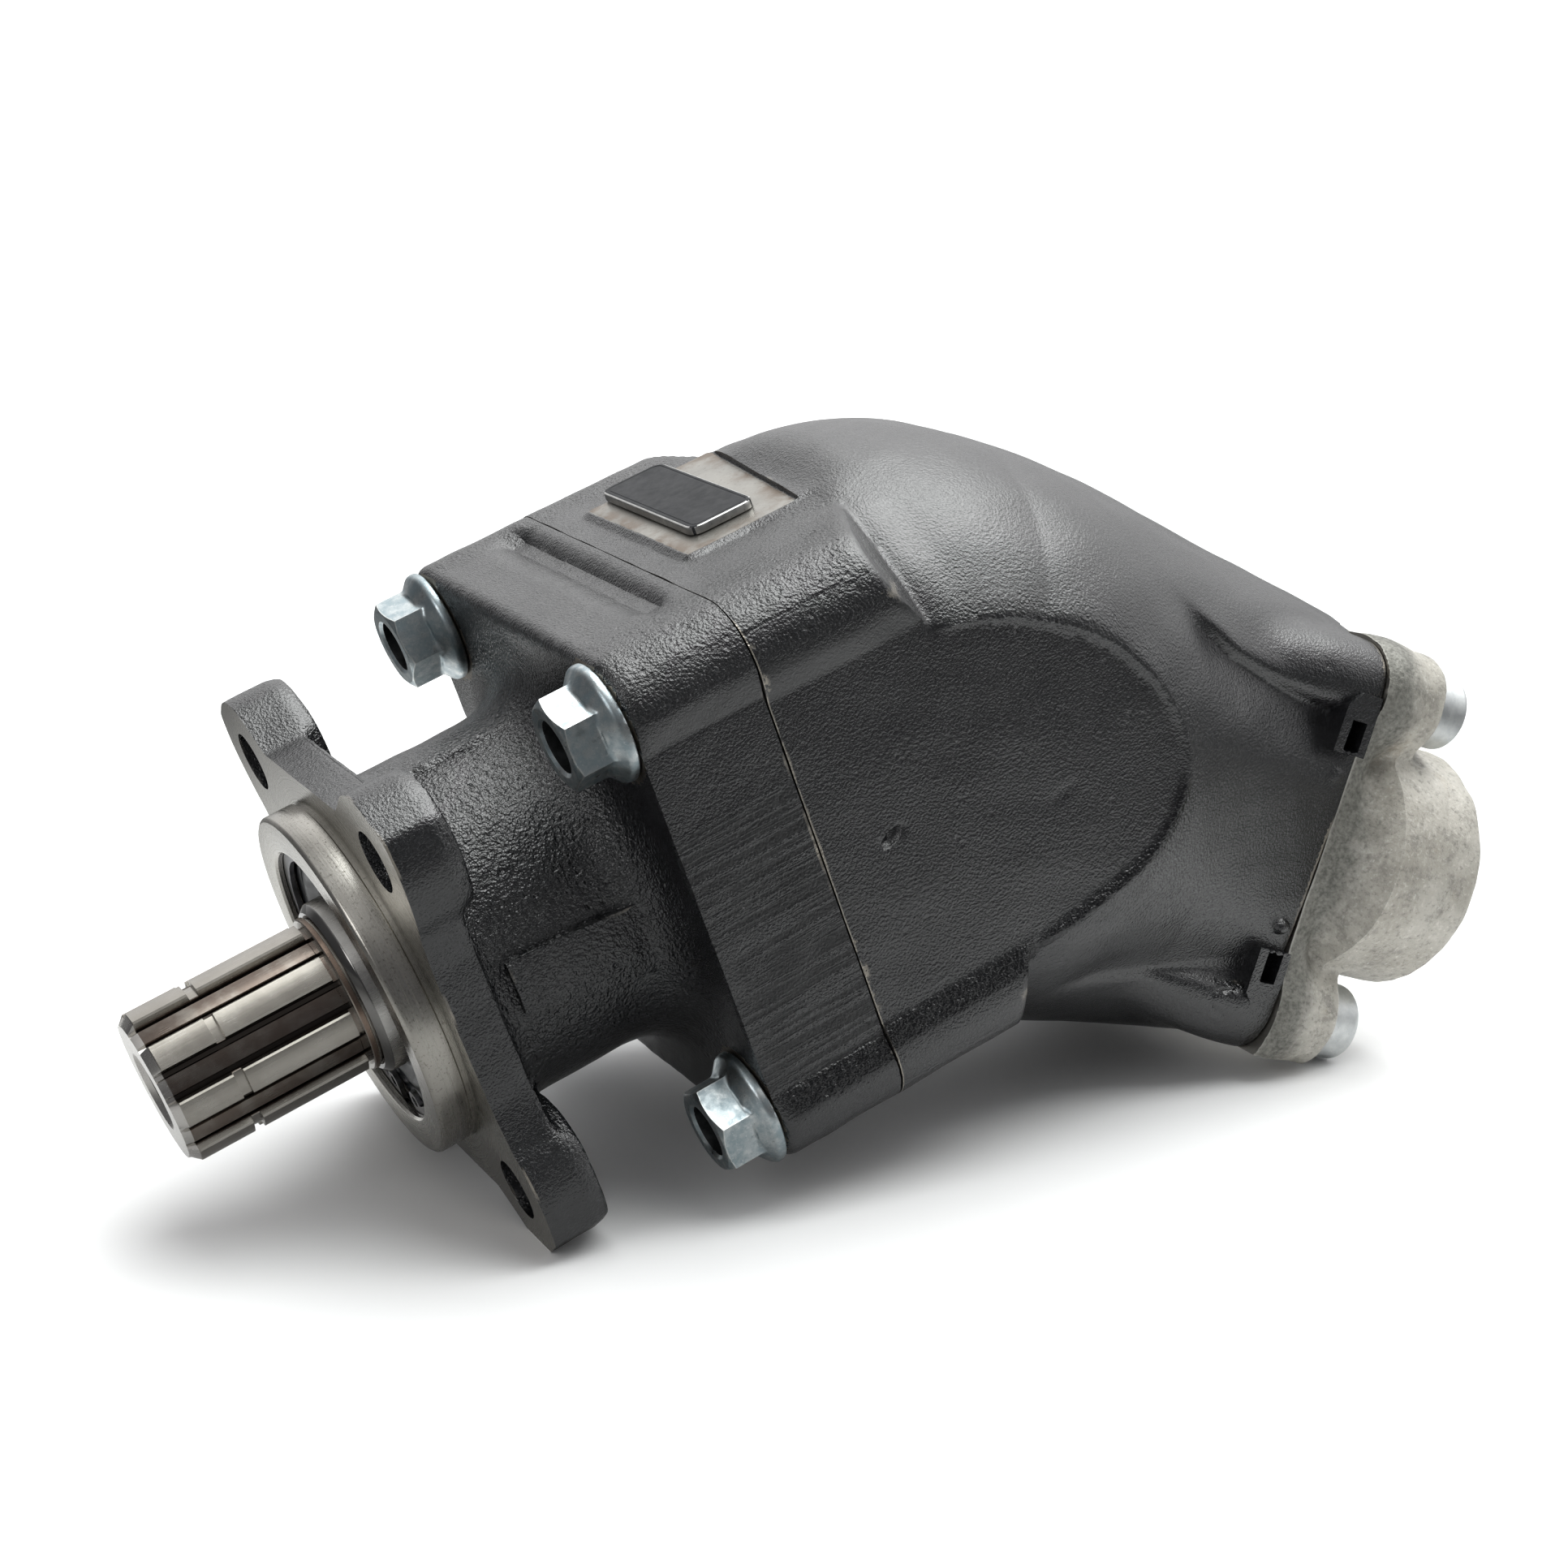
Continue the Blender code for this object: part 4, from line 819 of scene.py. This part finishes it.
    # machined: plate pad, joint faces, cavity, holes
    cut = np.maximum(np.maximum(slab(y, -23.0, 31.5), 61.0 - z), np.maximum(88.2 - x, x - 118.5 - 0.098 * y))
    f = np.maximum(f, -cut)
    f = np.maximum(f, 81.15 - x)
    f = np.maximum(f, xb - 102.85)
    c = np.maximum(r - (42.0 - np.clip((x - 127.0) * 8.0 / 12.0, 0.0, 8.0)), slab(x, 70.0, 139.0))
    c = np.minimum(c, np.sqrt((x - BEND_X) ** 2 + r ** 2) - 44.0)
    rb = np.hypot(y, zb)
    c = np.minimum(c, np.maximum(rb - 37.0, slab(xb, 18.0, 120.0)))
    c = np.minimum(c, np.maximum(np.abs(r - 47.5) - 1.8, slab(x, 70.0, 84.4)))
    c = np.minimum(c, np.maximum(np.abs(rb - 40.2) - 1.6, slab(xb, 100.0, 120.0)))
    c = np.minimum(c, np.maximum(disc(ay, az, 46.73, 46.73, 6.2), slab(x, 70.0, 109.8)))
    c = np.minimum(c, np.maximum(disc(ay, np.abs(zb), 38.0, 38.8, 6.3), slab(xb, 86.6, 120.0)))
    return np.maximum(f, -c)


H2 = 1.15
me = field_mesh("barrel_housing_cast", barrel_housing, grid(78.03, 240.0, H2), grid(-62.3, 62.6, H2), grid(-110.07, 69.0, H2))
c, nv = centres(me)
slots = np.zeros(len(c), int)
xb = (c[:, 0] - BEND_X) * CB - c[:, 2] * SB
slots[(c[:, 0] < 81.17) | (xb > 102.8)] = 1
rr = np.hypot(c[:, 1], c[:, 2])
zb = (c[:, 0] - BEND_X) * SB + c[:, 2] * CB
slots[(np.sqrt((c[:, 0] - BEND_X) ** 2 + rr ** 2) < 47.0) | ((np.hypot(c[:, 1], zb) < 37.4) & (xb > 10)) | ((rr < 42.4) & (c[:, 0] < 130))] = 1
paint_faces(me, slots)
co = np.zeros(len(me.vertices) * 3, np.float32)
me.vertices.foreach_get("co", co)
co = co.reshape(-1, 3) / MM
vx, vy, vz = co.T
vr = np.hypot(vy, vz)
rim = rsquare(vy, vz, 60.1, 13.27, 60.0)
band = np.exp(-((vx - 120.8 + 0.69 * (vr - 67.5)) / 1.5) ** 2 - (rim / 2.2) ** 2) * (vr > 68.0) * (vx > 110.0)
low, high = 38.6 + 0.0 * vx, 47.5 - 0.06 * (vx - 81.0)
strip = step(low - 0.6, low + 0.6, vz) * (1.0 - step(high - 1.5, high + 1.5, vz)) * (np.abs(vy) > 57.5) * (vx < 119.0)
rough = -0.18 + 0.70 * step(55.8, 57.8, np.abs(vy))
rough = np.maximum(rough, 0.85 * step(68.0, 74.0, vr) * (vx < 118.0) * (np.abs(vy) < 57.6))
rough = rough - (rough + 1.0) * np.clip(np.maximum(band, 0.62 * strip), 0.0, 1.0)
out = polygon(vx, vz, CHEEK)
# the lower ramp band, given a glossier finish and darkened in colour as painted shade
ramp_gloss_and_shade = np.where(vx < 120.2, step(38.2, 39.2, -vz) * (1.0 - step(43.8, 45.8, -vz)),
               step(-0.3, 0.5, out) * (1.0 - step(2.2, 3.4, out)) * (1.0 - step(-27.0, -20.0, vz))) * (np.abs(vy) > 55.5)
rough = rough + (1.0 - rough) * ramp_gloss_and_shade
me.attributes.new("ramp_gloss_and_shade", "FLOAT", "POINT").data.foreach_set("value", ramp_gloss_and_shade.astype(np.float32))
me.attributes.new("rough", "FLOAT", "POINT").data.foreach_set("value", rough.astype(np.float32))
place("barrel_housing_cast", me, PUMP, "housing", "barrel_housing", [PAINT_REAR, BORE])


# ------------------------------------------------------------------ end cap, in the barrel frame
def end_cap(x, y, z):
    ay, az = np.abs(y), np.abs(z)
    crown = np.hypot(y, z + 63.0) - 116.0
    out2 = smax(smax(ay - 44.3, crown, 8.0), -49.4 - z, 3.0)
    boss2 = disc(ay, az, 35.2, 38.5, 11.5)
    rim2 = smin(out2, boss2, 4.0)
    base = smax(rim2, x - 110.5 - 0.02 * az, 6.0)
    boss = smax(disc(ay, az, 36.9, 38.4, 12.4), x - 120.6, 2.0)
    boss = smax(boss, 105.0 - x, 3.0)
    f = smin(base, boss, 5.0)
    hub = smax(np.hypot(y, z) - (34.0 - np.maximum(x - 113.0, 0.0) * 0.9), x - 124.0, 5.0)
    f = smin(f, hub, 9.0)
    suc = smax(disc(y, z, -28.6, 0.0, np.minimum(28.6, 15.0 + (x - 105.5) * 1.35)) * 0.66, x - 141.8, 4.2)
    prs = smax(disc(y, z, 27.0, 0.0, np.minimum(22.4, 13.0 + (x - 105.5) * 1.35)) * 0.66, x - 137.5, 3.4)
    f = smin(f, np.maximum(suc, 100.0 - x), 4.5)
    f = smin(f, np.maximum(prs, 100.0 - x), 4.5)
    f = f + 0.13 * waves(x, y, z, 15.0, 11) + 0.06 * waves(x, y, z, 6.0, 12)
    # flat ports and joint face
    f = np.maximum(f, 103.15 - x)
    f = np.maximum(f, x - 141.4)
    f = np.maximum(f, -np.maximum(disc(y, z, 27.0, 0.0, 20.0), 136.98 - x))
    f = np.maximum(f, -49.4 - z)
    # screw seats, kidneys, pin hole, screw holes
    f = np.maximum(f, -np.maximum(disc(ay, az, 38.0, 38.8, 9.7), slab(x, 117.0, 150.0)))
    rk = np.hypot(y, z)
    bc = 26.0 * (1.0 + CB) / 2.0
    kid = np.maximum(np.abs(rk - bc) - 4.2, np.maximum(az * 0.47 - ay * 0.883, slab(x, 90.0, 114.0)))
    f = np.maximum(f, -kid)
    f = np.maximum(f, -np.maximum(disc(y, z, 0.0, 31.0, 2.4), slab(x, 90.0, 109.0)))
    f = np.maximum(f, -np.maximum(disc(ay, az, 38.0, 38.8, 6.7), slab(x, 90.0, 120.0)))
    # port bores with a chamfered mouth
    for cy, br, end in ((-28.6, 20.0, 141.0), (27.0, 13.0, 137.0)):
        d = np.hypot(y - cy, z)
        bore = np.maximum(d - br, slab(x, 112.0, 160.0))
        mouth = np.maximum((d - br - 1.9 + (end - x)) * 0.707, end - 4.0 - x)
        f = np.maximum(f, -np.minimum(bore, mouth))
    return f


H3 = 0.95
me = field_mesh("end_cap_cast", end_cap, grid(100.05, 143.5, H3), grid(-59.03, 52.0, H3), grid(-53.07, 56.0, H3))


def tap(cy, r, pitch, x0, x1, seg=48):
    """A plug with a helical thread, for cutting a tapped port."""
    depth = 0.62 * pitch
    per = 8
    rows = []
    turns = int((x1 - x0) / pitch)
    m = turns * per
    for i in range(m + 1):
        x = x0 + (x1 - x0) * i / m
        row = []
        for k in range(seg):
            a = 2 * math.pi * k / seg
            ph = ((x - x0) / pitch - k / seg) % 1.0
            tri = abs(2 * ph - 1.0)
            rad = r + depth * min(max((tri - 0.12) / 0.76, 0.0), 1.0)
            row.append((x, cy + rad * math.cos(a), rad * math.sin(a)))
        rows.append(row)
    return skin(rows)


for cy, br, pitch, end in ((-28.6, 19.6, 2.309, 141.0), (27.0, 12.7, 1.814, 137.0)):
    plug = to_mesh(tap(cy, br, pitch, end - 18.5, end + 3.0, 64 if cy < 0 else 48), "tap")
    me = boolean(me, plug, "DIFFERENCE", "end_cap_cast")
me.shade_smooth()
me.set_sharp_from_angle(angle=math.radians(38))
c, nv = centres(me)
slots = np.zeros(len(c), int)
for cy, br, end in ((-28.6, 20.0, 141.0), (27.0, 13.0, 137.0)):
    d = np.hypot(c[:, 1] - cy, c[:, 2])
    slots[(c[:, 0] > end - 0.15) & (nv[:, 0] > 0.8) & (d < br + 9)] = 1
    slots[(d < br + 2.1) & (c[:, 0] > 111.5) & (np.abs(nv[:, 0]) < 0.97)] = 1
slots[c[:, 0] < 103.2] = 1
paint_faces(me, slots)
place("end_cap_cast", me, BARREL, "housing", "end_cap", [CAST, PORT])


# ------------------------------------------------------------------ fasteners
def hex2(y, z, flats, turn):
    out = None
    for k in range(3):
        a = math.radians(60 * k + turn + 30)
        d = np.abs(y * math.cos(a) + z * math.sin(a)) - flats / 2.0
        out = d if out is None else np.maximum(out, d)
    return out


def bolt_field(x, y, z):
    """Flanged hexagon bolt with a dished head: seat at x = 0, head towards -X."""
    r = np.hypot(y, z)
    head = np.maximum(hex2(y, z, 18.0, 0.0), slab(x, -12.0, -1.0))
    head = np.maximum(head, (r - 8.75 - (x + 12.0) * 1.75) * 0.5)
    skirt = np.maximum((r - 9.9 - (x + 4.4) * 1.15) * 0.66, slab(x, -4.6, 0.0))
    skirt = smax(skirt, r - 12.9, 0.6)
    f = smin(head, skirt, 0.7)
    f = np.minimum(f, np.maximum(r - 6.0, slab(x, -3.0, 57.2)))
    dish = smax(r - 5.85, x + 6.3 - 0.8 * (1.0 - np.minimum(r / 5.85, 1.0) ** 2), 0.8)
    dish = np.minimum(dish, np.maximum((r - 6.5 + x + 12.0) * 0.707, x + 10.0))
    return np.maximum(f, -dish)


fine = 0.42
bx, bq = contour(bolt_field, np.concatenate([grid(-13.2, 1.4, fine), np.arange(4.0, 61.0, 3.0)]),
                 grid(-13.63, 13.7, fine), grid(-13.61, 13.7, fine), 0.02)
for i, (sy, sz) in enumerate(CORNERS):
    me = mesh_from("housing_bolt_%d_zinc" % (i + 1), bx, bq, sharp=24)
    mark_edges(me, bolt_field, bx, 0.25)
    a = math.radians(11.0 + 13.0 * i)
    me.transform(Matrix.Translation((52.2 * MM, sy * 46.73 * MM, sz * 46.73 * MM)) @ Matrix.Rotation(a, 4, "X"))
    c, nv = centres(me)
    rr = np.hypot(c[:, 1] - sy * 46.73, c[:, 2] - sz * 46.73)
    # the dished recess takes the darker zinc: painted shade
    slots = ((rr < 5.95) & (c[:, 0] < 47.6) & (c[:, 0] > 40.9)).astype(int)
    paint_faces(me, slots)
    place("housing_bolt_%d_zinc" % (i + 1), me, PUMP, "housing", "housing_bolt_%d" % (i + 1), [ZINC, ZINC_RECESS_SHADE])


def screw_field(x, y, z):
    """Socket-head cap screw: seat at x = 0, head towards +X."""
    r = np.hypot(y, z)
    head = smax(r - 9.0, slab(x, 0.0, 12.0), 1.7)
    head = np.maximum(head, -x)
    f = np.minimum(head, np.maximum(r - 6.0, slab(x, -29.8, 1.0)))
    sock = np.maximum(hex2(y, z, 10.0, 0.0), 5.6 - x)
    sock = np.minimum(sock, np.maximum((r - 6.1 + (12.0 - x)) * 0.707, 9.0 - x))
    return smax(f, -sock, 0.3)


sx, sq = contour(screw_field, np.concatenate([np.arange(-33.0, -1.5, 3.0), grid(-1.2, 13.0, fine)]),
                 grid(-9.73, 9.8, fine), grid(-9.71, 9.8, fine), 0.02)
for i, (sy, sz) in enumerate(CORNERS):
    me = mesh_from("cap_screw_%d_zinc" % (i + 1), sx, sq, sharp=40)
    a = math.radians(7.0 + 19.0 * i)
    me.transform(Matrix.Translation((117.3 * MM, sy * 38.0 * MM, sz * 38.8 * MM)) @ Matrix.Rotation(a, 4, "X"))
    place("cap_screw_%d_zinc" % (i + 1), me, BARREL, "housing", "cap_screw_%d" % (i + 1), [DULL_ZINC])


# ------------------------------------------------------------------ drive shaft
def spline_section(x, limit):
    """Eight flat-sided teeth with a relief at each root; no point outside the limit."""
    ro, ri, w = 17.5, 16.0, 3.0
    pts = []
    for k in range(8):
        c = math.pi / 2 + k * math.pi / 4
        ao, ai = math.asin(w / ro), math.asin(w / ri)
        tip = [(ri, ai), (ro - 0.35, math.asin(w / (ro - 0.35))), (ro, ao - 0.35 / ro)]
        half = [(ri + 0.0, math.pi / 8), (ri, math.pi / 8 - 0.06), (ri, ai + 0.088), (ri - 0.8, ai + 0.066), (ri - 0.8, ai + 0.008)]
        row = [(r, -a) for r, a in half] + [(r, -a) for r, a in tip]
        row += [(ro, -ao / 2), (ro, 0.0), (ro, ao / 2)]
        row += [(r, a) for r, a in reversed(tip)] + [(r, a) for r, a in reversed(half[1:])]
        for r, a in row:
            rr = min(r, limit)
            pts.append((x, rr * math.cos(c + a), rr * math.sin(c + a)))
    return pts


TIP = -53.6
marks = [(TIP, 15.5), (TIP + 2.0, 17.55), (-39.45, 18.0), (-39.3, 16.15), (-37.35, 16.15), (-37.2, 18.0), (-13.2, 18.0),
         (-12.75, 18.0), (-12.6, 15.9), (-9.0, 15.9)]
me = to_mesh(skin([spline_section(x, lim) for x, lim in marks]), "drive_shaft_splined", 25)
journal = lathe([(-11.45, 17.6), (-11.2, 17.85), (-10.25, 17.9), (-10.1, 17.3), (-9.75, 17.3), (-9.6, 18.6), (-8.35, 19.85), (-8.0, 20.0), (56.5, 20.0), (56.5, 22.0), (80.6, 22.0), (80.6, 28.0),
                 (88.0, 28.0), (104.0, 38.5), (BEND_X, 38.5)], 112)
me = boolean(me, to_mesh(journal, "j"), "UNION", "drive_shaft_splined")
bore = lathe([(TIP - 1.0, 9.6), (TIP + 0.05, 9.0), (TIP + 1.2, 7.85), (TIP + 20.0, 7.85), (TIP + 23.0, 0.6)], 64)
me = boolean(me, to_mesh(bore, "b"), "DIFFERENCE", "drive_shaft_splined")


def sphere(r, cx, cy, cz, seg=32, rings=16):
    rows = [[(cx - r * math.cos(math.pi * i / rings), cy + r * math.sin(math.pi * i / rings) * math.cos(2 * math.pi * k / seg),
              cz + r * math.sin(math.pi * i / rings) * math.sin(2 * math.pi * k / seg)) for k in range(seg)]
            for i in range(1, rings)]
    return skin(rows)


for k in range(8):
    a = 2 * math.pi * k / 7
    s = sphere(9.8, BEND_X, 26.0 * math.sin(a), 26.0 * math.cos(a)) if k < 7 else sphere(7.7, BEND_X, 0, 0)
    me = boolean(me, to_mesh(s, "s"), "DIFFERENCE", "drive_shaft_splined")
me.shade_smooth()
me.set_sharp_from_angle(angle=math.radians(25))
c, nv = centres(me)
paint_faces(me, np.where(c[:, 0] > 20.0, 1, np.where(c[:, 0] > -9.72, 2, 0)))
place("drive_shaft_splined", me, PUMP, "shaft", "drive_shaft", [SPLINE, STEEL, JOURNAL])

# ------------------------------------------------------------------ shaft seal and circlip
seal = [(-4.2, 31.0), (-4.2, 29.2), (-3.7, 28.6), (-3.9, 27.6), (-4.3, 26.4), (-4.0, 25.2), (-3.2, 24.2), (-2.6, 23.0), (-3.2, 21.9), (-3.9, 21.2),
        (-3.5, 20.6), (-2.4, 20.25), (-1.0, 20.35), (1.2, 20.7), (2.0, 20.45), (3.4, 20.9), (4.6, 21.6), (4.4, 22.6), (1.4, 23.2), (-0.6, 24.0), (-1.4, 25.4), (-1.6, 27.0), (-1.2, 28.0),
        (6.0, 28.0), (6.0, 31.0), (2.0, 31.15), (-2.0, 31.0)]
me = to_mesh(lathe(seal, 96, True), "shaft_seal_lip", 40)
place("shaft_seal_lip", me, PUMP, "housing", "shaft_seal", [RUBBER])


def circlip_field(x, y, z):
    r = np.hypot(y, z)
    ring = np.maximum(r - 32.6, 29.0 + 1.3 * step(-32.0, 32.0, -z) * 0.6 - r)
    gap = np.maximum(np.abs(y) - 4.4, z)
    ring = np.maximum(ring, -gap)
    lug = np.hypot(np.abs(y) - 6.6, z + 28.4) - 2.7
    f = smin(ring, lug, 1.2)
    f = np.maximum(f, -(np.hypot(np.abs(y) - 6.6, z + 28.2) - 1.25))
    return smax(f, slab(x, -6.1, -4.9), 0.2)


cl = 0.42
me = field_mesh("seal_circlip_ring", circlip_field, grid(-6.75, -4.1, 0.3), grid(-33.6, 33.7, cl), grid(-33.6, 33.7, cl), 40)
place("seal_circlip_ring", me, PUMP, "housing", "seal_circlip", [SPRING])

# ------------------------------------------------------------------ blank name plate
def plate_ring(h, w, r, z, n=8):
    pts = []
    for cx, cy, a0 in ((h - r, w - r, 0), (-h + r, w - r, 90), (-h + r, -w + r, 180), (h - r, -w + r, 270)):
        for i in range(n):
            a = math.radians(a0 + 90.0 * i / (n - 1))
            pts.append((cx + r * math.cos(a), cy + r * math.sin(a), z))
    return pts


levels = [(0.0, 0.0), (0.0, 1.35), (0.12, 1.62), (0.45, 1.80), (0.95, 1.80), (1.10, 1.70), (1.45, 1.70), (1.60, 1.79)]
rows = [plate_ring(8.0 - d, 24.0 - d, max(3.0 - d, 0.8), z) for d, z in levels]
me = to_mesh(skin(rows), "name_plate_blank", 30)
me.transform(Matrix.Translation((102.0 * MM, 9.0 * MM, 61.3 * MM)))
c, nv = centres(me)
inset = np.maximum(np.abs(c[:, 0] - 102.0) - 8.0, np.abs(c[:, 1] - 9.0) - 24.0)
paint_faces(me, np.where((inset > -0.62) | (c[:, 2] < 61.5), 1, 0))
place("name_plate_blank", me, PUMP, "housing", "name_plate", [PLATE, PLATE_EDGE])

# ------------------------------------------------------------------ carried-over inner pieces
INNER_STEEL = plain_metal("inner_steel", (0.42, 0.41, 0.39), (0.54, 0.53, 0.51), (0.20, 0.36), 150.0, 0.000008, (300.0, 1100.0, 1100.0), own=False)
INNER_RACE = plain_metal("bearing_race", (0.52, 0.52, 0.52), (0.62, 0.62, 0.61), (0.14, 0.26), 120.0, 0.000006, own=False)
INNER_CAGE = plain_metal("pressed_cage", (0.38, 0.38, 0.37), (0.50, 0.50, 0.48), (0.30, 0.46), 200.0, 0.00001, own=False)
INNER_SPRING = plain_metal("coil_spring_steel", (0.14, 0.14, 0.15), (0.24, 0.24, 0.25), (0.26, 0.42), 200.0, 0.00001, own=False)
INNER_BRONZE = plain_metal("lapped_bronze", (0.50, 0.33, 0.15), (0.62, 0.44, 0.22), (0.20, 0.34), 120.0, 0.000006, own=False)
INNER_RUBBER = soft_black("o_ring_rubber", (0.010, 0.011, 0.013), (0.018, 0.020, 0.023), (0.30, 0.46), own=False)
for name, node in NODES.items():
    if node.hide_render:
        continue
    if name.endswith("race") or name in ("ball_retainer", "spring_seat", "valve_plate_pin") or name.startswith("piston"):
        m = INNER_RACE
    elif name.endswith("cage"):
        m = INNER_CAGE
    elif name == "valve_plate":
        m = INNER_BRONZE
    elif name.endswith("o_ring"):
        m = INNER_RUBBER
    elif name == "barrel_spring":
        m = INNER_SPRING
    else:
        m = INNER_STEEL
    node.data.materials.clear()
    node.data.materials.append(m)

# ------------------------------------------------------------------ floor, light, camera
def floor_material():
    t = Tree("pale_floor")
    n = t.noise(3.0, 3.0, 0.5)
    t.set(Base_Color=t.mix(t.span(n, 0.3, 0.7), (0.89, 0.89, 0.89), (0.91, 0.91, 0.91)))
    t.set(Roughness=t.span(n, 0.3, 0.7, 0.55, 0.65, "LINEAR"))
    return t.m


bm = bmesh.new()
bmesh.ops.create_grid(bm, x_segments=8, y_segments=8, size=40.0)
me = bpy.data.meshes.new("floor")
bm.to_mesh(me)
bm.free()
floor = bpy.data.objects.new("floor", me)
me.materials.append(floor_material())
bpy.context.scene.collection.objects.link(floor)
floor.visible_glossy = False

# a sheet seen only in reflections, a painted reflection of the table: white near the pump, dark further out
bm = bmesh.new()
bmesh.ops.create_circle(bm, cap_ends=True, segments=96, radius=2.0)
me = bpy.data.meshes.new("table_reflection_card")
bm.to_mesh(me)
bm.free()
t = Tree("painted_table_reflection")
x, y, z = t.xyz()
d = t.math("SQRT", t.math("ADD", t.math("MULTIPLY", x, x), t.math("MULTIPLY", y, y)))
front = t.mix(t.span(x, -0.05, 0.12), (0.42, 0.42, 0.42), (0.70, 0.70, 0.70))
near = t.mix(t.span(y, -0.02, 0.12), front, (0.72, 0.72, 0.72))
t.set(Base_Color=t.mix(t.span(d, 0.11, 0.35), near, (0.055, 0.055, 0.055)), Roughness=t.span(t.noise(3.0), 0.3, 0.7, 0.6, 0.7))
me.materials.append(t.m)
reflection_sheet = bpy.data.objects.new("table_reflection_card", me)
bpy.context.scene.collection.objects.link(reflection_sheet)
reflection_sheet.location = (0.0, 0.0, 0.0003)
reflection_sheet.visible_camera = reflection_sheet.visible_diffuse = reflection_sheet.visible_shadow = reflection_sheet.visible_transmission = False

scene = bpy.context.scene
world = bpy.data.worlds.new("studio")
scene.world = world
world.use_nodes = True
wt = world.node_tree
wt.nodes.clear()
wo = wt.nodes.new("ShaderNodeOutputWorld")
bg = wt.nodes.new("ShaderNodeBackground")
tc = wt.nodes.new("ShaderNodeTexCoord")
sep = wt.nodes.new("ShaderNodeSeparateXYZ")
ramp = wt.nodes.new("ShaderNodeValToRGB")
wt.links.new(tc.outputs["Generated"], sep.inputs[0])
wt.links.new(sep.outputs["Z"], ramp.inputs[0])
ramp.color_ramp.elements[0].position = 0.0
ramp.color_ramp.elements[0].color = (0.10, 0.10, 0.105, 1)
ramp.color_ramp.elements[1].position = 0.85
ramp.color_ramp.elements[1].color = (0.55, 0.55, 0.55, 1)
ramp.color_ramp.elements.new(0.50).color = (0.18, 0.18, 0.184, 1)
def wmath(op, a, b):
    n = wt.nodes.new("ShaderNodeMath")
    n.operation = op
    for i, v in enumerate((a, b)):
        if isinstance(v, float):
            n.inputs[i].default_value = v
        else:
            wt.links.new(v, n.inputs[i])
    return n.outputs[0]


def wspan(v, a, b, lo, hi, kind):
    n = wt.nodes.new("ShaderNodeMapRange")
    n.interpolation_type = kind
    wt.links.new(v, n.inputs["Value"])
    for k, w in (("From Min", a), ("From Max", b), ("To Min", lo), ("To Max", hi)):
        n.inputs[k].default_value = w
    return n.outputs[0]


# a pale wall of light behind and to the right, brighter higher up
side = wmath("ADD", wmath("MULTIPLY", sep.outputs["X"], 0.85), wmath("MULTIPLY", sep.outputs["Y"], 0.55))
wall = wmath("MULTIPLY", wspan(side, -0.10, 0.70, 0.0, 1.0, "SMOOTHSTEP"), wspan(sep.outputs["Z"], 0.0, 1.0, 0.55, 2.3, "LINEAR"))
add = wt.nodes.new("ShaderNodeMix")
add.data_type = "RGBA"
add.blend_type = "ADD"
add.inputs[0].default_value = 1.0
wt.links.new(ramp.outputs[0], add.inputs[6])
wt.links.new(wall, add.inputs[7])
wt.links.new(add.outputs[2], bg.inputs[0])
bg.inputs[1].default_value = 1.0
pale = wt.nodes.new("ShaderNodeBackground")
pale.inputs[0].default_value = (1, 1, 1, 1)
pale.inputs[1].default_value = 0.97
path = wt.nodes.new("ShaderNodeLightPath")
pick = wt.nodes.new("ShaderNodeMixShader")
wt.links.new(path.outputs["Is Camera Ray"], pick.inputs[0])
wt.links.new(bg.outputs[0], pick.inputs[1])
wt.links.new(pale.outputs[0], pick.inputs[2])
wt.links.new(pick.outputs[0], wo.inputs[0])


def area(name, loc, target, size, size_y, energy, color=(1, 1, 1)):
    l = bpy.data.lights.new(name, "AREA")
    l.shape = "RECTANGLE"
    l.size, l.size_y, l.energy, l.color = size, size_y, energy, color
    o = bpy.data.objects.new(name, l)
    scene.collection.objects.link(o)
    o.location = loc
    o.rotation_euler = (Vector(target) - Vector(loc)).to_track_quat("-Z", "Y").to_euler()
    return o


area("left_softbox", (-1.2, -0.55, 0.70), (-0.05, 0.0, 0.06), 0.6, 0.6, 3.2)
sun = bpy.data.lights.new("overhead", "SUN")
sun.energy, sun.angle, sun.color = 3.1, math.radians(60), (0.975, 1.0, 0.992)
so = bpy.data.objects.new("overhead", sun)
scene.collection.objects.link(so)
so.rotation_euler = Vector((-0.27, 0.0, -0.965)).to_track_quat("-Z", "Y").to_euler()

scene.view_settings.view_transform = "Standard"
scene.view_settings.look = "None"
scene.view_settings.exposure = 0.0

cam = bpy.data.cameras.new("camera")
co_ = bpy.data.objects.new("camera", cam)
scene.collection.objects.link(co_)
scene.camera = co_
cam.sensor_width = 36.0
cam.lens = 36.0 * 3591.317 / 1932.0
cam.clip_start, cam.clip_end = 0.01, 200.0
v = Vector((1.8796662, -0.6794420, 0.0029248))
M = Matrix.Rotation(v.length, 3, v.normalized())
t = Vector((-85.54306, 39.43771, 619.30128)) * MM
pos = -(M.transposed() @ t)
R3 = PUMP.to_3x3()
axes3 = Matrix((M[0], -Vector(M[1]), -Vector(M[2]))).transposed()
rot = (R3 @ axes3).to_4x4()
co_.matrix_world = Matrix.Translation(PUMP @ pos) @ rot
